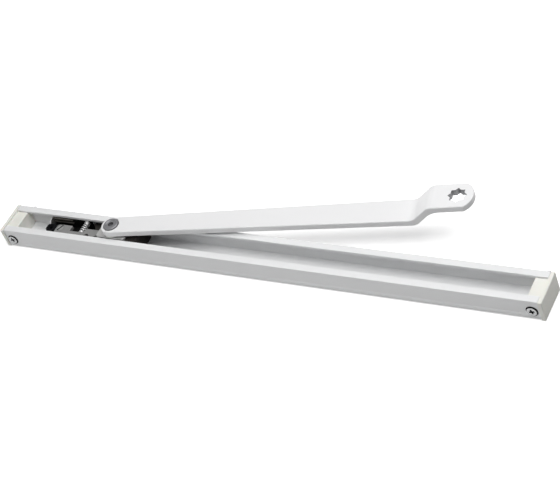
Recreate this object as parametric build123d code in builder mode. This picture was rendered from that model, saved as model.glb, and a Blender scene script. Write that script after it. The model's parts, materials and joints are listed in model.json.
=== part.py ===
from build123d import *

import os
from math import atan2, cos, degrees, radians, sin, tan

# Slide rail and lever arm of a door closer, with a hold-open unit in the rail.
#
# Frame: the origin is the centre of the rail's back face, the face that lies on the door frame.
# +X runs along the rail, +Y points into the door frame, +Z points out of the slot.

# --- rail: a slotted extrusion --------------------------------------------------------------------
RAIL_LENGTH = 440.0
RAIL_WIDTH = 27.5
RAIL_HEIGHT = 16.5
SIDE_WALL = 2.75
FLOOR_WALL = 2.0
LIP_THICKNESS = 2.5
SLOT_WIDTH = 16.4
SKIRT_HEIGHT = 4.3  # the rounded bead along the foot of the front face
SKIRT_PROUD = 0.5
PROFILE_CORNER = 0.6
SLOT_EDGE_ROUND = 0.4
CAVITY_ROOT_ROUND = 0.8

# --- end caps: a plate and the plug behind it, moulded in one -------------------------------------
CAP_THICKNESS = 3.0
CAP_PROUD = 0.3
CAP_CORNER = 0.8
CAP_EDGE = 0.5
PLUG_LENGTH = 9.5
PLUG_FIT = 0.1  # below the lips and beside them
PLUG_TOP_DROP = 1.5  # how far the plug's top lies below the slot's mouth
PLUG_EDGE = 0.4

# --- fixing screws, through the rail and its plugs into the door frame -----------------------------
SCREW_INSET = 5.5  # from the profile's end
SCREW_DROP = 1.0  # below the middle of the profile's height
SCREW_LENGTH = 32.0  # under the head
SCREW_DIAMETER = 4.2
SCREW_NECK_DIAMETER = 3.6
SCREW_POINT = 2.2
SCREW_POINT_FLAT = 0.5  # the blunt tip's diameter
SCREW_HEAD_DIAMETER = 9.2
SCREW_HEAD_HEIGHT = 3.8  # it stands a little out of its recess
SCREW_HEAD_CHAMFER = 1.0
SCREW_HOLE_CLEARANCE = 0.2
SCREW_RECESS_DIAMETER = 10.2
CROSS_LENGTH = 4.4
CROSS_WIDTH = 1.0
CROSS_DEPTH = 1.5
CROSS_TURN = 16.0  # degrees

# --- slider ---------------------------------------------------------------------------------------
SLIDER_LENGTH = 26.0
SLIDER_SIDE_GAP = 0.5
SLIDER_BOSS_RISE = 0.6  # above the lips
SLIDER_BOSS_CORNER = 2.5
SHOE_GAP = 0.3
SHOE_LENGTH = 10.0
SHOE_TOP_DROP = 0.8  # the long shoe's tongue, below the slot's mouth
SHOE_CORNER = 1.2
SHOE_PEG_DIAMETER = 5.0
SHOE_PEG_LENGTH = 4.0
WEDGE_HEIGHT = 8.3  # the short shoe, which passes under the catch lever
WEDGE_REACH = 14.5
WEDGE_FRONT_REACH = 5.0

# --- slider's catch finger and pin ----------------------------------------------------------------
CATCH_REACH = 24.5  # from the arm's pivot to the catch pin
CATCH_PIN_DIAMETER = 2.4
CATCH_PIN_CHAMFER = 0.4
FINGER_WIDTH = 5.2
FINGER_THICKNESS = 4.3
FINGER_PIN_DEPTH = 3.4

# --- arm pivot ------------------------------------------------------------------------------------
ARM_LIFT = 1.5  # from the rail's top to the arm's underside
PART_GAP = 0.3  # between pieces that move past each other
RUNNING_FIT = 0.05  # radial, shaft in hole
BOLT_SHOULDER_DIAMETER = 8.0
BOLT_THREAD_DIAMETER = 6.0
BOLT_THREAD_LENGTH = 9.0
BOLT_HEAD_DIAMETER = 12.0
BOLT_HEAD_HEIGHT = 2.2
BOLT_HEAD_CHAMFER = 0.6
BOLT_DISH_DIAMETER = 8.4
BOLT_DISH_DEPTH = 0.5
BOLT_SOCKET_WIDTH = 4.0  # across flats
BOLT_SOCKET_DEPTH = 2.4
BUSH_WALL = 1.0
WASHER_DIAMETER = 15.0
WASHER_BORE_GAP = 0.15

# --- lever arm ------------------------------------------------------------------------------------
ARM_TURN = 11.75  # degrees from the rail, about the pivot
ARM_LENGTH = 269.2  # from the pivot to the spindle socket
ARM_THICKNESS = 5.2
ARM_PIVOT_WIDTH = 16.0
ARM_SHOULDER_WIDTH = 21.9
CRANK_SETBACK = 17.6  # from the crank's end to the spindle socket
CRANK_RUN = 13.4
CRANK_RISE = 11.9
CRANK_BEND_RADIUS = 9.0
EYE_WIDTH = 23.0
EYE_CORNER_REACH = 5.5  # past the socket, to where the eye starts to round off
EYE_TIP_REACH = 11.8
ARM_EDGE = 0.5
ARM_COUNTERBORE_DEPTH = 1.5
ARM_COUNTERBORE_GAP = 0.4
SOCKET_FLATS = 9.7  # double square: two squares, an eighth of a turn apart

# --- hold-open unit: a sprung lever in a housing that is clamped in the cavity --------------------
LEVER_REACH = 27.0  # from the lever's pivot to the catch pin
LEVER_PIVOT_INSET = 6.0  # from the lever's front edge
LEVER_THICKNESS = 2.7
LEVER_TOP_DROP = 0.4  # below the lips' underside
LEVER_WIDTH = 9.3
LEVER_TAIL = 3.6  # behind the pivot
LEVER_PLATE_LENGTH = 10.0  # before the pivot, at full width
LEVER_NECK_WIDTH = 4.2
LEVER_HEAD_START = 22.6
LEVER_HEAD_LENGTH = 13.4
LEVER_HEAD_WIDTH = 8.2
LEVER_RAMP = 3.6
LEVER_CORNER = 1.0
LEVER_EDGE = 0.2
NOTCH_DEPTH = 1.4  # from the lever's front edge to the catch pin's axis
NOTCH_FLANK = 60.0  # degrees from the rail's axis
NOTCH_GAP = 0.75
PIVOT_SCREW_DIAMETER = 3.2
PIVOT_SCREW_HEAD_DIAMETER = 5.6
PIVOT_SCREW_HEAD_HEIGHT = 1.0
PIVOT_SCREW_SLOT_WIDTH = 1.1
PIVOT_SCREW_SLOT_DEPTH = 0.6
PIVOT_SCREW_SLOT_TURN = 62.0  # degrees
PIVOT_SCREW_DEPTH = 4.0  # in the housing's boss
LEVER_COUNTERBORE_DEPTH = 1.4

UNIT_INSET = 32.5  # from the profile's end to the unit's end wall
BASE_THICKNESS = 1.0
BASE_SIDE_GAP = 0.2
BASE_LEFT = 14.0  # from the lever's pivot to the end wall's outer face
BASE_RIGHT = 22.4
END_WALL_LOW = 5.0
END_WALL_DROP = 0.6  # the end wall's high corner, below the lips
END_WALL_HIGH_WIDTH = 5.4

HOUSING_FLOOR = 2.0
HOUSING_SIDE_GAP = 0.4
HOUSING_FRONT_WALL = 3.1
HOUSING_BACK_WALL = 2.2
HOUSING_RIB_DEPTH = 1.0
HOUSING_RIB_WIDTH = 1.2
HOUSING_RIB_PITCH = 3.0
HOUSING_RIB_LENGTH = 19.0
HOUSING_BOSS_DIAMETER = 7.2

CLAMP_BLOCK_LENGTH = 8.4
CLAMP_BLOCK_WIDTH = 8.0
CLAMP_BLOCK_Y = -2.0
CLAMP_BLOCK_CHAMFER = 2.2
CLAMP_BLOCK_DROP = 0.3
CLAMP_SCREW_DIAMETER = 5.0
CLAMP_SCREW_DROP = 0.7
CLAMP_SCREW_CHAMFER = 1.1
CLAMP_SOCKET_WIDTH = 2.5
CLAMP_SOCKET_DEPTH = 2.5

SPRING_X = 19.7  # from the lever's pivot
SPRING_DIAMETER = 4.8
SPRING_WIRE = 0.7
SPRING_WIRE_SIDES = 6
SPRING_STEPS = 16  # straight lengths of wire in one turn
SPRING_TURNS = 6.5
SPRING_END_GAP = 0.05
SPIGOT_DIAMETER = 3.0
SPIGOT_LENGTH = 1.6
SEAT_DIAMETER = 4.6
SEAT_THICKNESS = 1.2
SEAT_SINK = 0.6  # into the housing's back wall
SPRING_DROP = 0.7  # the spring's axis, below the middle of the lever's thickness

# --- worked out from the sizes above --------------------------------------------------------------
CENTRE_Y = -RAIL_WIDTH / 2
TOP_Z = RAIL_HEIGHT / 2
FLOOR_Z = -TOP_Z + FLOOR_WALL
CAVITY_WIDTH = RAIL_WIDTH - 2 * SIDE_WALL
CAVITY_HEIGHT = RAIL_HEIGHT - FLOOR_WALL - LIP_THICKNESS
SLOT_MOUTH = CAVITY_HEIGHT + LIP_THICKNESS  # the rail's top, measured from the cavity's floor

SCREW_SPACING = RAIL_LENGTH - 2 * SCREW_INSET
SCREW_SEAT_Y = -RAIL_WIDTH + SIDE_WALL
SCREW_THREAD = SCREW_LENGTH + SCREW_SEAT_Y  # what stands out of the back face

# The hold-open unit is clamped near the rail's end, and the slider rests in its catch.
LEVER_PIVOT_X = -RAIL_LENGTH / 2 + UNIT_INSET + BASE_LEFT
SLIDER_X = LEVER_PIVOT_X + LEVER_REACH + CATCH_REACH
LEVER_TOP = CAVITY_HEIGHT - LEVER_TOP_DROP
LEVER_BOTTOM = LEVER_TOP - LEVER_THICKNESS

# Across the rail, from its centre line: the lever lies a gap behind the housing's front wall.
HOUSING_WIDTH = CAVITY_WIDTH - 2 * HOUSING_SIDE_GAP
FRONT_WALL_Y = -HOUSING_WIDTH / 2 + HOUSING_FRONT_WALL
BACK_WALL_Y = HOUSING_WIDTH / 2 - HOUSING_BACK_WALL
LEVER_FRONT_Y = FRONT_WALL_Y + PART_GAP
LEVER_BACK_Y = LEVER_FRONT_Y + LEVER_WIDTH
LEVER_NECK_BACK_Y = LEVER_FRONT_Y + LEVER_NECK_WIDTH
LEVER_HEAD_BACK_Y = LEVER_FRONT_Y + LEVER_HEAD_WIDTH
LEVER_PIVOT_Y = LEVER_FRONT_Y + LEVER_PIVOT_INSET
CATCH_PIN_Y = LEVER_FRONT_Y + NOTCH_DEPTH
SEAT_FACE_Y = BACK_WALL_Y + SEAT_SINK - SEAT_THICKNESS


def over_floor(height, x=0.0):
    """A level plane in the cavity, `height` above its floor and `x` along the rail's centre line."""
    return Plane(origin=(x, CENTRE_Y, FLOOR_Z + height))


def across(x):
    """The rail's cross-section at `x`, with its origin on the cavity's floor, in the middle."""
    return Plane(origin=(x, CENTRE_Y, FLOOR_Z), x_dir=(0, 1, 0), z_dir=(1, 0, 0))


def facing_front(y):
    """An upright plane at `y`, level with the fixing screws, which looks out of the rail's front."""
    return Plane(origin=(0, y, -SCREW_DROP), x_dir=(1, 0, 0), z_dir=(0, -1, 0))


# ==================================================================================================
# Rail, end caps and fixing screws
# ==================================================================================================
with BuildPart() as rail_profile:
    with BuildSketch(Plane.YZ):
        with BuildLine():
            walls = Polyline(
                (-RAIL_WIDTH, -TOP_Z),
                (0, -TOP_Z),
                (0, TOP_Z),
                (-RAIL_WIDTH, TOP_Z),
                (-RAIL_WIDTH, -TOP_Z + SKIRT_HEIGHT),
            )
            bead_crown = (-RAIL_WIDTH - SKIRT_PROUD, -TOP_Z + SKIRT_HEIGHT / 2)
            ThreePointArc(walls @ 1, bead_crown, walls @ 0)
        make_face()
        outer_corners = vertices().group_by(Axis.Y)[-1] + vertices().group_by(Axis.Y)[0]
        fillet(outer_corners, radius=PROFILE_CORNER)
    extrude(amount=RAIL_LENGTH / 2, both=True)
    with BuildSketch(across(0)):
        with Locations((0, CAVITY_HEIGHT / 2)):
            cavity = Rectangle(CAVITY_WIDTH, CAVITY_HEIGHT)
        fillet(cavity.vertices().group_by(Axis.Y)[0], radius=CAVITY_ROOT_ROUND)
        with Locations((0, SLOT_MOUTH / 2)):
            Rectangle(SLOT_WIDTH, SLOT_MOUTH)
    extrude(amount=RAIL_LENGTH / 2, both=True, mode=Mode.SUBTRACT)
    mouth_edges = edges().filter_by(Axis.X).filter_by_position(
        Axis.Y, CENTRE_Y - SLOT_WIDTH / 2, CENTRE_Y + SLOT_WIDTH / 2
    )
    fillet(mouth_edges.group_by(Axis.Z)[-1], radius=SLOT_EDGE_ROUND)
    with Locations(facing_front(-RAIL_WIDTH)):
        with GridLocations(SCREW_SPACING, 0, 2, 1):
            Hole(SCREW_DIAMETER / 2 + SCREW_HOLE_CLEARANCE)
    with BuildSketch(facing_front(SCREW_SEAT_Y)):
        with GridLocations(SCREW_SPACING, 0, 2, 1):
            Circle(SCREW_RECESS_DIAMETER / 2)
    extrude(amount=SIDE_WALL + SKIRT_PROUD, mode=Mode.SUBTRACT)

end_caps = {}
for side, cap_name in ((-1, "end_cap_left"), (1, "end_cap_right")):
    profile_end = side * RAIL_LENGTH / 2
    with BuildPart() as end_cap:
        with BuildSketch(Plane.YZ.offset(profile_end)):
            with Locations((CENTRE_Y - (SKIRT_PROUD + CAP_PROUD) / 2, 0)):
                RectangleRounded(
                    RAIL_WIDTH + SKIRT_PROUD + CAP_PROUD, RAIL_HEIGHT + 2 * CAP_PROUD, CAP_CORNER
                )
        extrude(amount=side * CAP_THICKNESS)
        outer_face = faces().sort_by(Axis.X)[-1 if side > 0 else 0]
        chamfer(outer_face.edges(), length=CAP_EDGE)
        with BuildSketch(across(profile_end)):
            with Locations((0, (CAVITY_HEIGHT - PLUG_FIT) / 2)):
                plug = Rectangle(CAVITY_WIDTH, CAVITY_HEIGHT - PLUG_FIT)
            fillet(plug.vertices().group_by(Axis.Y)[0], radius=CAVITY_ROOT_ROUND)
            with Locations((0, (SLOT_MOUTH - PLUG_TOP_DROP) / 2)):
                Rectangle(SLOT_WIDTH - 2 * PLUG_FIT, SLOT_MOUTH - PLUG_TOP_DROP)
        extrude(amount=-side * PLUG_LENGTH)
        plug_face = faces().sort_by(Axis.X)[0 if side > 0 else -1]
        chamfer(plug_face.edges().group_by(Axis.Z)[-1], length=PLUG_EDGE)
        with Locations(facing_front(SCREW_SEAT_Y)):
            with Locations((side * SCREW_SPACING / 2, 0)):
                Hole(SCREW_DIAMETER / 2 + SCREW_HOLE_CLEARANCE)
    end_caps[cap_name] = end_cap

with BuildPart() as fixing_screws:
    with BuildSketch(facing_front(SCREW_SEAT_Y)):
        with GridLocations(SCREW_SPACING, 0, 2, 1):
            Circle(SCREW_HEAD_DIAMETER / 2)
    extrude(amount=SCREW_HEAD_HEIGHT)
    chamfer(edges().group_by(Axis.Y)[0], length=SCREW_HEAD_CHAMFER)
    with BuildSketch(facing_front(SCREW_SEAT_Y - SCREW_HEAD_HEIGHT)):
        with GridLocations(SCREW_SPACING, 0, 2, 1):
            Rectangle(CROSS_LENGTH, CROSS_WIDTH, rotation=CROSS_TURN)
            Rectangle(CROSS_WIDTH, CROSS_LENGTH, rotation=CROSS_TURN)
    extrude(amount=-CROSS_DEPTH, mode=Mode.SUBTRACT)
    with BuildSketch(facing_front(SCREW_SEAT_Y)):
        with GridLocations(SCREW_SPACING, 0, 2, 1):
            Circle(SCREW_NECK_DIAMETER / 2)
    extrude(amount=SCREW_SEAT_Y)
    with BuildSketch(facing_front(0)):
        with GridLocations(SCREW_SPACING, 0, 2, 1):
            Circle(SCREW_DIAMETER / 2)
    extrude(amount=-SCREW_THREAD)
    point_edges = edges().group_by(Axis.Y)[-1]
    chamfer(point_edges, length=SCREW_POINT, length2=(SCREW_DIAMETER - SCREW_POINT_FLAT) / 2)

# ==================================================================================================
# Slider: zinc block, two plastic shoes, catch pin
# ==================================================================================================
finger_length = CATCH_REACH - SLIDER_LENGTH / 2
block_bottom = SLIDER_SIDE_GAP
block_top = CAVITY_HEIGHT - SLIDER_SIDE_GAP
boss_top = SLOT_MOUTH + SLIDER_BOSS_RISE
peg_height = WEDGE_HEIGHT / 2
finger_top = WEDGE_HEIGHT

with BuildPart() as slider_block:
    with BuildSketch(over_floor(block_bottom, SLIDER_X)):
        Rectangle(SLIDER_LENGTH, CAVITY_WIDTH - 2 * SLIDER_SIDE_GAP)
    extrude(amount=block_top - block_bottom)
    chamfer(edges().filter_by(Axis.X), length=CAVITY_ROOT_ROUND)
    with BuildSketch(over_floor(block_top, SLIDER_X)):
        RectangleRounded(SLIDER_LENGTH, SLOT_WIDTH - 2 * SLIDER_SIDE_GAP, SLIDER_BOSS_CORNER)
    extrude(amount=boss_top - block_top)
    chamfer(faces().sort_by(Axis.Z)[-1].edges(), length=SLOT_EDGE_ROUND)
    with BuildSketch(over_floor(finger_top - FINGER_THICKNESS, SLIDER_X)):
        with Locations((-SLIDER_LENGTH / 2 - finger_length / 2, CATCH_PIN_Y)):
            Rectangle(finger_length, FINGER_WIDTH)
        with Locations((-CATCH_REACH, CATCH_PIN_Y)):
            Circle(FINGER_WIDTH / 2)
    extrude(amount=FINGER_THICKNESS)
    with Locations(over_floor(finger_top, SLIDER_X)):
        with Locations((-CATCH_REACH, CATCH_PIN_Y)):
            Hole(CATCH_PIN_DIAMETER / 2, depth=FINGER_PIN_DEPTH)
    with Locations(over_floor(boss_top, SLIDER_X)):
        Hole(BOLT_THREAD_DIAMETER / 2, depth=BOLT_THREAD_LENGTH)
    for end in (-1, 1):
        with BuildSketch(across(SLIDER_X + end * SLIDER_LENGTH / 2)):
            with Locations((0, peg_height)):
                Circle(SHOE_PEG_DIAMETER / 2)
        extrude(amount=-end * SHOE_PEG_LENGTH, mode=Mode.SUBTRACT)

with BuildPart() as slider_catch_pin:
    with BuildSketch(over_floor(finger_top - FINGER_PIN_DEPTH, SLIDER_X)):
        with Locations((-CATCH_REACH, CATCH_PIN_Y)):
            Circle(CATCH_PIN_DIAMETER / 2)
    extrude(amount=LEVER_TOP - finger_top + FINGER_PIN_DEPTH)
    chamfer(edges().group_by(Axis.Z)[-1], length=CATCH_PIN_CHAMFER)

with BuildPart() as slider_shoe_long:
    shoe_start = SLIDER_X + SLIDER_LENGTH / 2
    with BuildSketch(across(shoe_start)):
        with Locations((0, CAVITY_HEIGHT / 2)):
            RectangleRounded(
                CAVITY_WIDTH - 2 * SHOE_GAP, CAVITY_HEIGHT - 2 * SHOE_GAP, SHOE_CORNER
            )
        with Locations((0, (SLOT_MOUTH - SHOE_TOP_DROP + SHOE_GAP) / 2)):
            Rectangle(SLOT_WIDTH - 2 * SHOE_GAP, SLOT_MOUTH - SHOE_TOP_DROP - SHOE_GAP)
    extrude(amount=SHOE_LENGTH)
    chamfer(faces().sort_by(Axis.X)[-1].edges().filter_by(Axis.Y), length=SHOE_CORNER)
    with BuildSketch(across(shoe_start)):
        with Locations((0, peg_height)):
            Circle(SHOE_PEG_DIAMETER / 2)
    extrude(amount=-SHOE_PEG_LENGTH)

with BuildPart() as slider_shoe_wedge:
    wedge_end = -SLIDER_LENGTH / 2
    wedge_front = CATCH_PIN_Y + FINGER_WIDTH / 2 + PART_GAP
    wedge_back = CAVITY_WIDTH / 2 - SHOE_GAP
    with BuildSketch(over_floor(SHOE_GAP, SLIDER_X)):
        with BuildLine():
            Polyline(
                (wedge_end, wedge_front),
                (wedge_end, wedge_back),
                (wedge_end - WEDGE_REACH, wedge_back),
                (wedge_end - WEDGE_FRONT_REACH, wedge_front),
                close=True,
            )
        make_face()
    extrude(amount=WEDGE_HEIGHT - SHOE_GAP)
    fillet(edges().filter_by(Axis.Z).group_by(Axis.X)[0], radius=SHOE_CORNER)
    chamfer(faces().sort_by(Axis.Y)[-1].edges().group_by(Axis.Z)[0], length=CAVITY_ROOT_ROUND)
    with BuildSketch(across(SLIDER_X + wedge_end)):
        with Locations((0, peg_height)):
            Circle(SHOE_PEG_DIAMETER / 2)
    extrude(amount=SHOE_PEG_LENGTH)

# ==================================================================================================
# Arm and its pivot
# ==================================================================================================
arm_bottom = SLOT_MOUTH + ARM_LIFT
arm_top = arm_bottom + ARM_THICKNESS
counterbore_floor = arm_top - ARM_COUNTERBORE_DEPTH
bolt_head_bottom = counterbore_floor + PART_GAP
bolt_head_top = bolt_head_bottom + BOLT_HEAD_HEIGHT
bush_bore = BOLT_SHOULDER_DIAMETER / 2 + RUNNING_FIT
bush_radius = bush_bore + BUSH_WALL

with BuildPart() as pivot_bolt:
    with BuildSketch(over_floor(boss_top - BOLT_THREAD_LENGTH, SLIDER_X)):
        Circle(BOLT_THREAD_DIAMETER / 2)
    extrude(amount=BOLT_THREAD_LENGTH)
    with BuildSketch(over_floor(boss_top, SLIDER_X)):
        Circle(BOLT_SHOULDER_DIAMETER / 2)
    extrude(amount=bolt_head_bottom - boss_top)
    with BuildSketch(over_floor(bolt_head_bottom, SLIDER_X)):
        Circle(BOLT_HEAD_DIAMETER / 2)
    extrude(amount=BOLT_HEAD_HEIGHT)
    chamfer(edges().group_by(Axis.Z)[-1], length=BOLT_HEAD_CHAMFER)
    with BuildSketch(over_floor(bolt_head_top, SLIDER_X)):
        Circle(BOLT_DISH_DIAMETER / 2)
    extrude(amount=-BOLT_DISH_DEPTH, taper=45, mode=Mode.SUBTRACT)
    with BuildSketch(over_floor(bolt_head_top, SLIDER_X)):
        RegularPolygon(BOLT_SOCKET_WIDTH / 2, 6, major_radius=False)
    extrude(amount=-BOLT_SOCKET_DEPTH, mode=Mode.SUBTRACT)

with BuildPart() as arm_washer:
    with BuildSketch(over_floor(boss_top, SLIDER_X)):
        Circle(WASHER_DIAMETER / 2)
        Circle(BOLT_SHOULDER_DIAMETER / 2 + WASHER_BORE_GAP, mode=Mode.SUBTRACT)
    extrude(amount=arm_bottom - boss_top - PART_GAP)

with BuildPart() as arm_bush:
    with BuildSketch(over_floor(arm_bottom, SLIDER_X)):
        Circle(bush_radius)
        Circle(bush_bore, mode=Mode.SUBTRACT)
    extrude(amount=counterbore_floor - arm_bottom)

arm_direction = Vector(cos(radians(ARM_TURN)), sin(radians(ARM_TURN)), 0)
arm_plan = Plane(over_floor(arm_bottom, SLIDER_X).origin, x_dir=arm_direction, z_dir=(0, 0, 1))
arm_profile = Plane(arm_plan.origin, x_dir=arm_direction, z_dir=-arm_plan.y_dir)
crank_end = ARM_LENGTH - CRANK_SETBACK
crank_start = crank_end - CRANK_RUN
eye_corner = ARM_LENGTH + EYE_CORNER_REACH
eye_tip = ARM_LENGTH + EYE_TIP_REACH
bend_shift = ARM_THICKNESS * tan(atan2(CRANK_RISE, CRANK_RUN) / 2)

with BuildPart() as lever_arm:
    with BuildSketch(arm_profile):
        with BuildLine():
            underside = FilletPolyline(
                (-ARM_PIVOT_WIDTH, 0),
                (crank_start, 0),
                (crank_end, CRANK_RISE),
                (eye_tip + ARM_THICKNESS, CRANK_RISE),
                radius=(CRANK_BEND_RADIUS, CRANK_BEND_RADIUS + ARM_THICKNESS),
            )
            upper = FilletPolyline(
                (-ARM_PIVOT_WIDTH, ARM_THICKNESS),
                (crank_start - bend_shift, ARM_THICKNESS),
                (crank_end - bend_shift, CRANK_RISE + ARM_THICKNESS),
                (eye_tip + ARM_THICKNESS, CRANK_RISE + ARM_THICKNESS),
                radius=(CRANK_BEND_RADIUS, CRANK_BEND_RADIUS),
            )
            Line(underside @ 0, upper @ 0)
            Line(underside @ 1, upper @ 1)
        make_face()
    extrude(amount=EYE_WIDTH, both=True)
    with BuildSketch(arm_plan):
        with BuildLine():
            Polyline(
                (0, ARM_PIVOT_WIDTH / 2),
                (crank_start, ARM_SHOULDER_WIDTH / 2),
                (crank_end, EYE_WIDTH / 2),
                (eye_corner, EYE_WIDTH / 2),
            )
            ThreePointArc((eye_corner, EYE_WIDTH / 2), (eye_tip, 0), (eye_corner, -EYE_WIDTH / 2))
            Polyline(
                (eye_corner, -EYE_WIDTH / 2),
                (crank_end, -EYE_WIDTH / 2),
                (crank_start, -ARM_SHOULDER_WIDTH / 2),
                (0, -ARM_PIVOT_WIDTH / 2),
            )
            ThreePointArc(
                (0, -ARM_PIVOT_WIDTH / 2), (-ARM_PIVOT_WIDTH / 2, 0), (0, ARM_PIVOT_WIDTH / 2)
            )
        make_face()
    extrude(amount=CRANK_RISE + 2 * ARM_THICKNESS, mode=Mode.INTERSECT)
    outline_edges = edges().filter_by(Axis.Z, reverse=True)
    across_arm = Axis(arm_plan.origin, arm_plan.y_dir)
    chamfer(outline_edges.filter_by(across_arm, reverse=True), length=ARM_EDGE)
    with BuildSketch(arm_plan):
        with Locations((ARM_LENGTH, 0)):
            for square_turn in (0, 45):
                RegularPolygon(SOCKET_FLATS / 2, 4, major_radius=False, rotation=square_turn)
        Circle(bush_radius)
    extrude(amount=CRANK_RISE + 2 * ARM_THICKNESS, mode=Mode.SUBTRACT)
    with BuildSketch(over_floor(counterbore_floor, SLIDER_X)):
        Circle(BOLT_HEAD_DIAMETER / 2 + ARM_COUNTERBORE_GAP)
    extrude(amount=ARM_THICKNESS, mode=Mode.SUBTRACT)

# ==================================================================================================
# Hold-open unit: base plate, housing, clamp, catch lever and spring
# Its sketches are drawn about the lever's pivot, on the rail's centre line.
# ==================================================================================================
unit_left = -BASE_LEFT + BASE_THICKNESS
housing_bottom = BASE_THICKNESS
deck = housing_bottom + HOUSING_FLOOR
clamp_x = unit_left + CLAMP_BLOCK_LENGTH / 2 + PART_GAP
spring_height = (LEVER_TOP + LEVER_BOTTOM) / 2 - SPRING_DROP
lever_counterbore_floor = LEVER_TOP - LEVER_COUNTERBORE_DEPTH
boss_seat = LEVER_BOTTOM - PART_GAP


def facing_back(y):
    """An upright plane across the unit at `y` from the centre line, at the spring's axis, which looks back."""
    return Plane(
        origin=(LEVER_PIVOT_X + SPRING_X, CENTRE_Y + y, FLOOR_Z + spring_height),
        x_dir=(-1, 0, 0),
        z_dir=(0, 1, 0),
    )


with BuildPart() as hold_open_base:
    base_width = CAVITY_WIDTH - 2 * BASE_SIDE_GAP
    with BuildSketch(over_floor(0, LEVER_PIVOT_X)):
        with Locations(((BASE_RIGHT - BASE_LEFT) / 2, 0)):
            Rectangle(BASE_LEFT + BASE_RIGHT, base_width)
        with Locations((clamp_x, CLAMP_BLOCK_Y)):
            Circle(CLAMP_SCREW_DIAMETER / 2 + SCREW_HOLE_CLEARANCE, mode=Mode.SUBTRACT)
    extrude(amount=BASE_THICKNESS)
    with BuildSketch(across(LEVER_PIVOT_X - BASE_LEFT)):
        with BuildLine():
            Polyline(
                (-base_width / 2, 0),
                (base_width / 2, 0),
                (base_width / 2, CAVITY_HEIGHT - END_WALL_DROP),
                (base_width / 2 - END_WALL_HIGH_WIDTH, CAVITY_HEIGHT - END_WALL_DROP),
                (0, END_WALL_LOW),
                (-base_width / 2, END_WALL_LOW),
                close=True,
            )
        make_face()
    extrude(amount=BASE_THICKNESS)
    chamfer(edges().filter_by(Axis.X).group_by(Axis.Z)[0], length=CAVITY_ROOT_ROUND)

with BuildPart() as hold_open_housing:
    with BuildSketch(over_floor(housing_bottom, LEVER_PIVOT_X)):
        with Locations(((unit_left + BASE_RIGHT) / 2, 0)):
            Rectangle(BASE_RIGHT - unit_left, HOUSING_WIDTH)
    extrude(amount=CAVITY_HEIGHT - housing_bottom)
    with BuildSketch(over_floor(deck, LEVER_PIVOT_X)):
        with Locations(((unit_left + BASE_RIGHT) / 2, (FRONT_WALL_Y + BACK_WALL_Y) / 2)):
            Rectangle(BASE_RIGHT - unit_left, BACK_WALL_Y - FRONT_WALL_Y)
    extrude(amount=CAVITY_HEIGHT, mode=Mode.SUBTRACT)
    with BuildSketch(over_floor(deck, LEVER_PIVOT_X)):
        with Locations((0, LEVER_PIVOT_Y)):
            Circle(HOUSING_BOSS_DIAMETER / 2)
    extrude(amount=boss_seat - deck)
    rib_height = CAVITY_HEIGHT - HOUSING_RIB_WIDTH
    with BuildSketch(across(LEVER_PIVOT_X + unit_left)):
        with Locations((BACK_WALL_Y, rib_height), (BACK_WALL_Y, rib_height - HOUSING_RIB_PITCH)):
            Rectangle(2 * HOUSING_RIB_DEPTH, HOUSING_RIB_WIDTH)
    extrude(amount=HOUSING_RIB_LENGTH)
    with BuildSketch(over_floor(deck, LEVER_PIVOT_X)):
        with Locations((clamp_x, CLAMP_BLOCK_Y)):
            Circle(CLAMP_SCREW_DIAMETER / 2 + SCREW_HOLE_CLEARANCE)
    extrude(amount=-HOUSING_FLOOR, mode=Mode.SUBTRACT)
    with Locations(over_floor(boss_seat, LEVER_PIVOT_X)):
        with Locations((0, LEVER_PIVOT_Y)):
            Hole(PIVOT_SCREW_DIAMETER / 2, depth=PIVOT_SCREW_DEPTH)
    with BuildSketch(facing_back(BACK_WALL_Y)):
        Circle(SEAT_DIAMETER / 2)
    extrude(amount=SEAT_SINK, mode=Mode.SUBTRACT)

with BuildPart() as clamp_block:
    with BuildSketch(over_floor(deck, LEVER_PIVOT_X)):
        with Locations((clamp_x, CLAMP_BLOCK_Y)):
            clamp_plan = Rectangle(CLAMP_BLOCK_LENGTH, CLAMP_BLOCK_WIDTH)
        chamfer(clamp_plan.vertices(), length=CLAMP_BLOCK_CHAMFER)
    extrude(amount=CAVITY_HEIGHT - CLAMP_BLOCK_DROP - deck)
    chamfer(faces().sort_by(Axis.Z)[-1].edges(), length=PLUG_EDGE)
    with Locations(over_floor(CAVITY_HEIGHT - CLAMP_BLOCK_DROP, LEVER_PIVOT_X)):
        with Locations((clamp_x, CLAMP_BLOCK_Y)):
            Hole(CLAMP_SCREW_DIAMETER / 2)

with BuildPart() as clamp_screw:
    clamp_screw_top = CAVITY_HEIGHT - CLAMP_BLOCK_DROP - CLAMP_SCREW_DROP
    with BuildSketch(over_floor(0, LEVER_PIVOT_X)):
        with Locations((clamp_x, CLAMP_BLOCK_Y)):
            Circle(CLAMP_SCREW_DIAMETER / 2)
    extrude(amount=clamp_screw_top)
    chamfer(edges().group_by(Axis.Z)[0], length=CLAMP_SCREW_CHAMFER)
    with BuildSketch(over_floor(clamp_screw_top, LEVER_PIVOT_X)):
        with Locations((clamp_x, CLAMP_BLOCK_Y)):
            RegularPolygon(CLAMP_SOCKET_WIDTH / 2, 6, major_radius=False)
    extrude(amount=-CLAMP_SOCKET_DEPTH, mode=Mode.SUBTRACT)

# The catch lever's notch is round at its root and opens towards the front in two straight ramps,
# which push the lever aside when the slider is pulled out of the catch or comes back to it.
notch_radius = CATCH_PIN_DIAMETER / 2 + NOTCH_GAP
notch_root = Vector(LEVER_REACH, CATCH_PIN_Y)
ramp_start = Vector(sin(radians(NOTCH_FLANK)), cos(radians(NOTCH_FLANK))) * notch_radius
ramp_drop = CATCH_PIN_Y + ramp_start.Y - LEVER_FRONT_Y
ramp_out = ramp_drop / tan(radians(NOTCH_FLANK))
head_end = LEVER_HEAD_START + LEVER_HEAD_LENGTH

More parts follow.
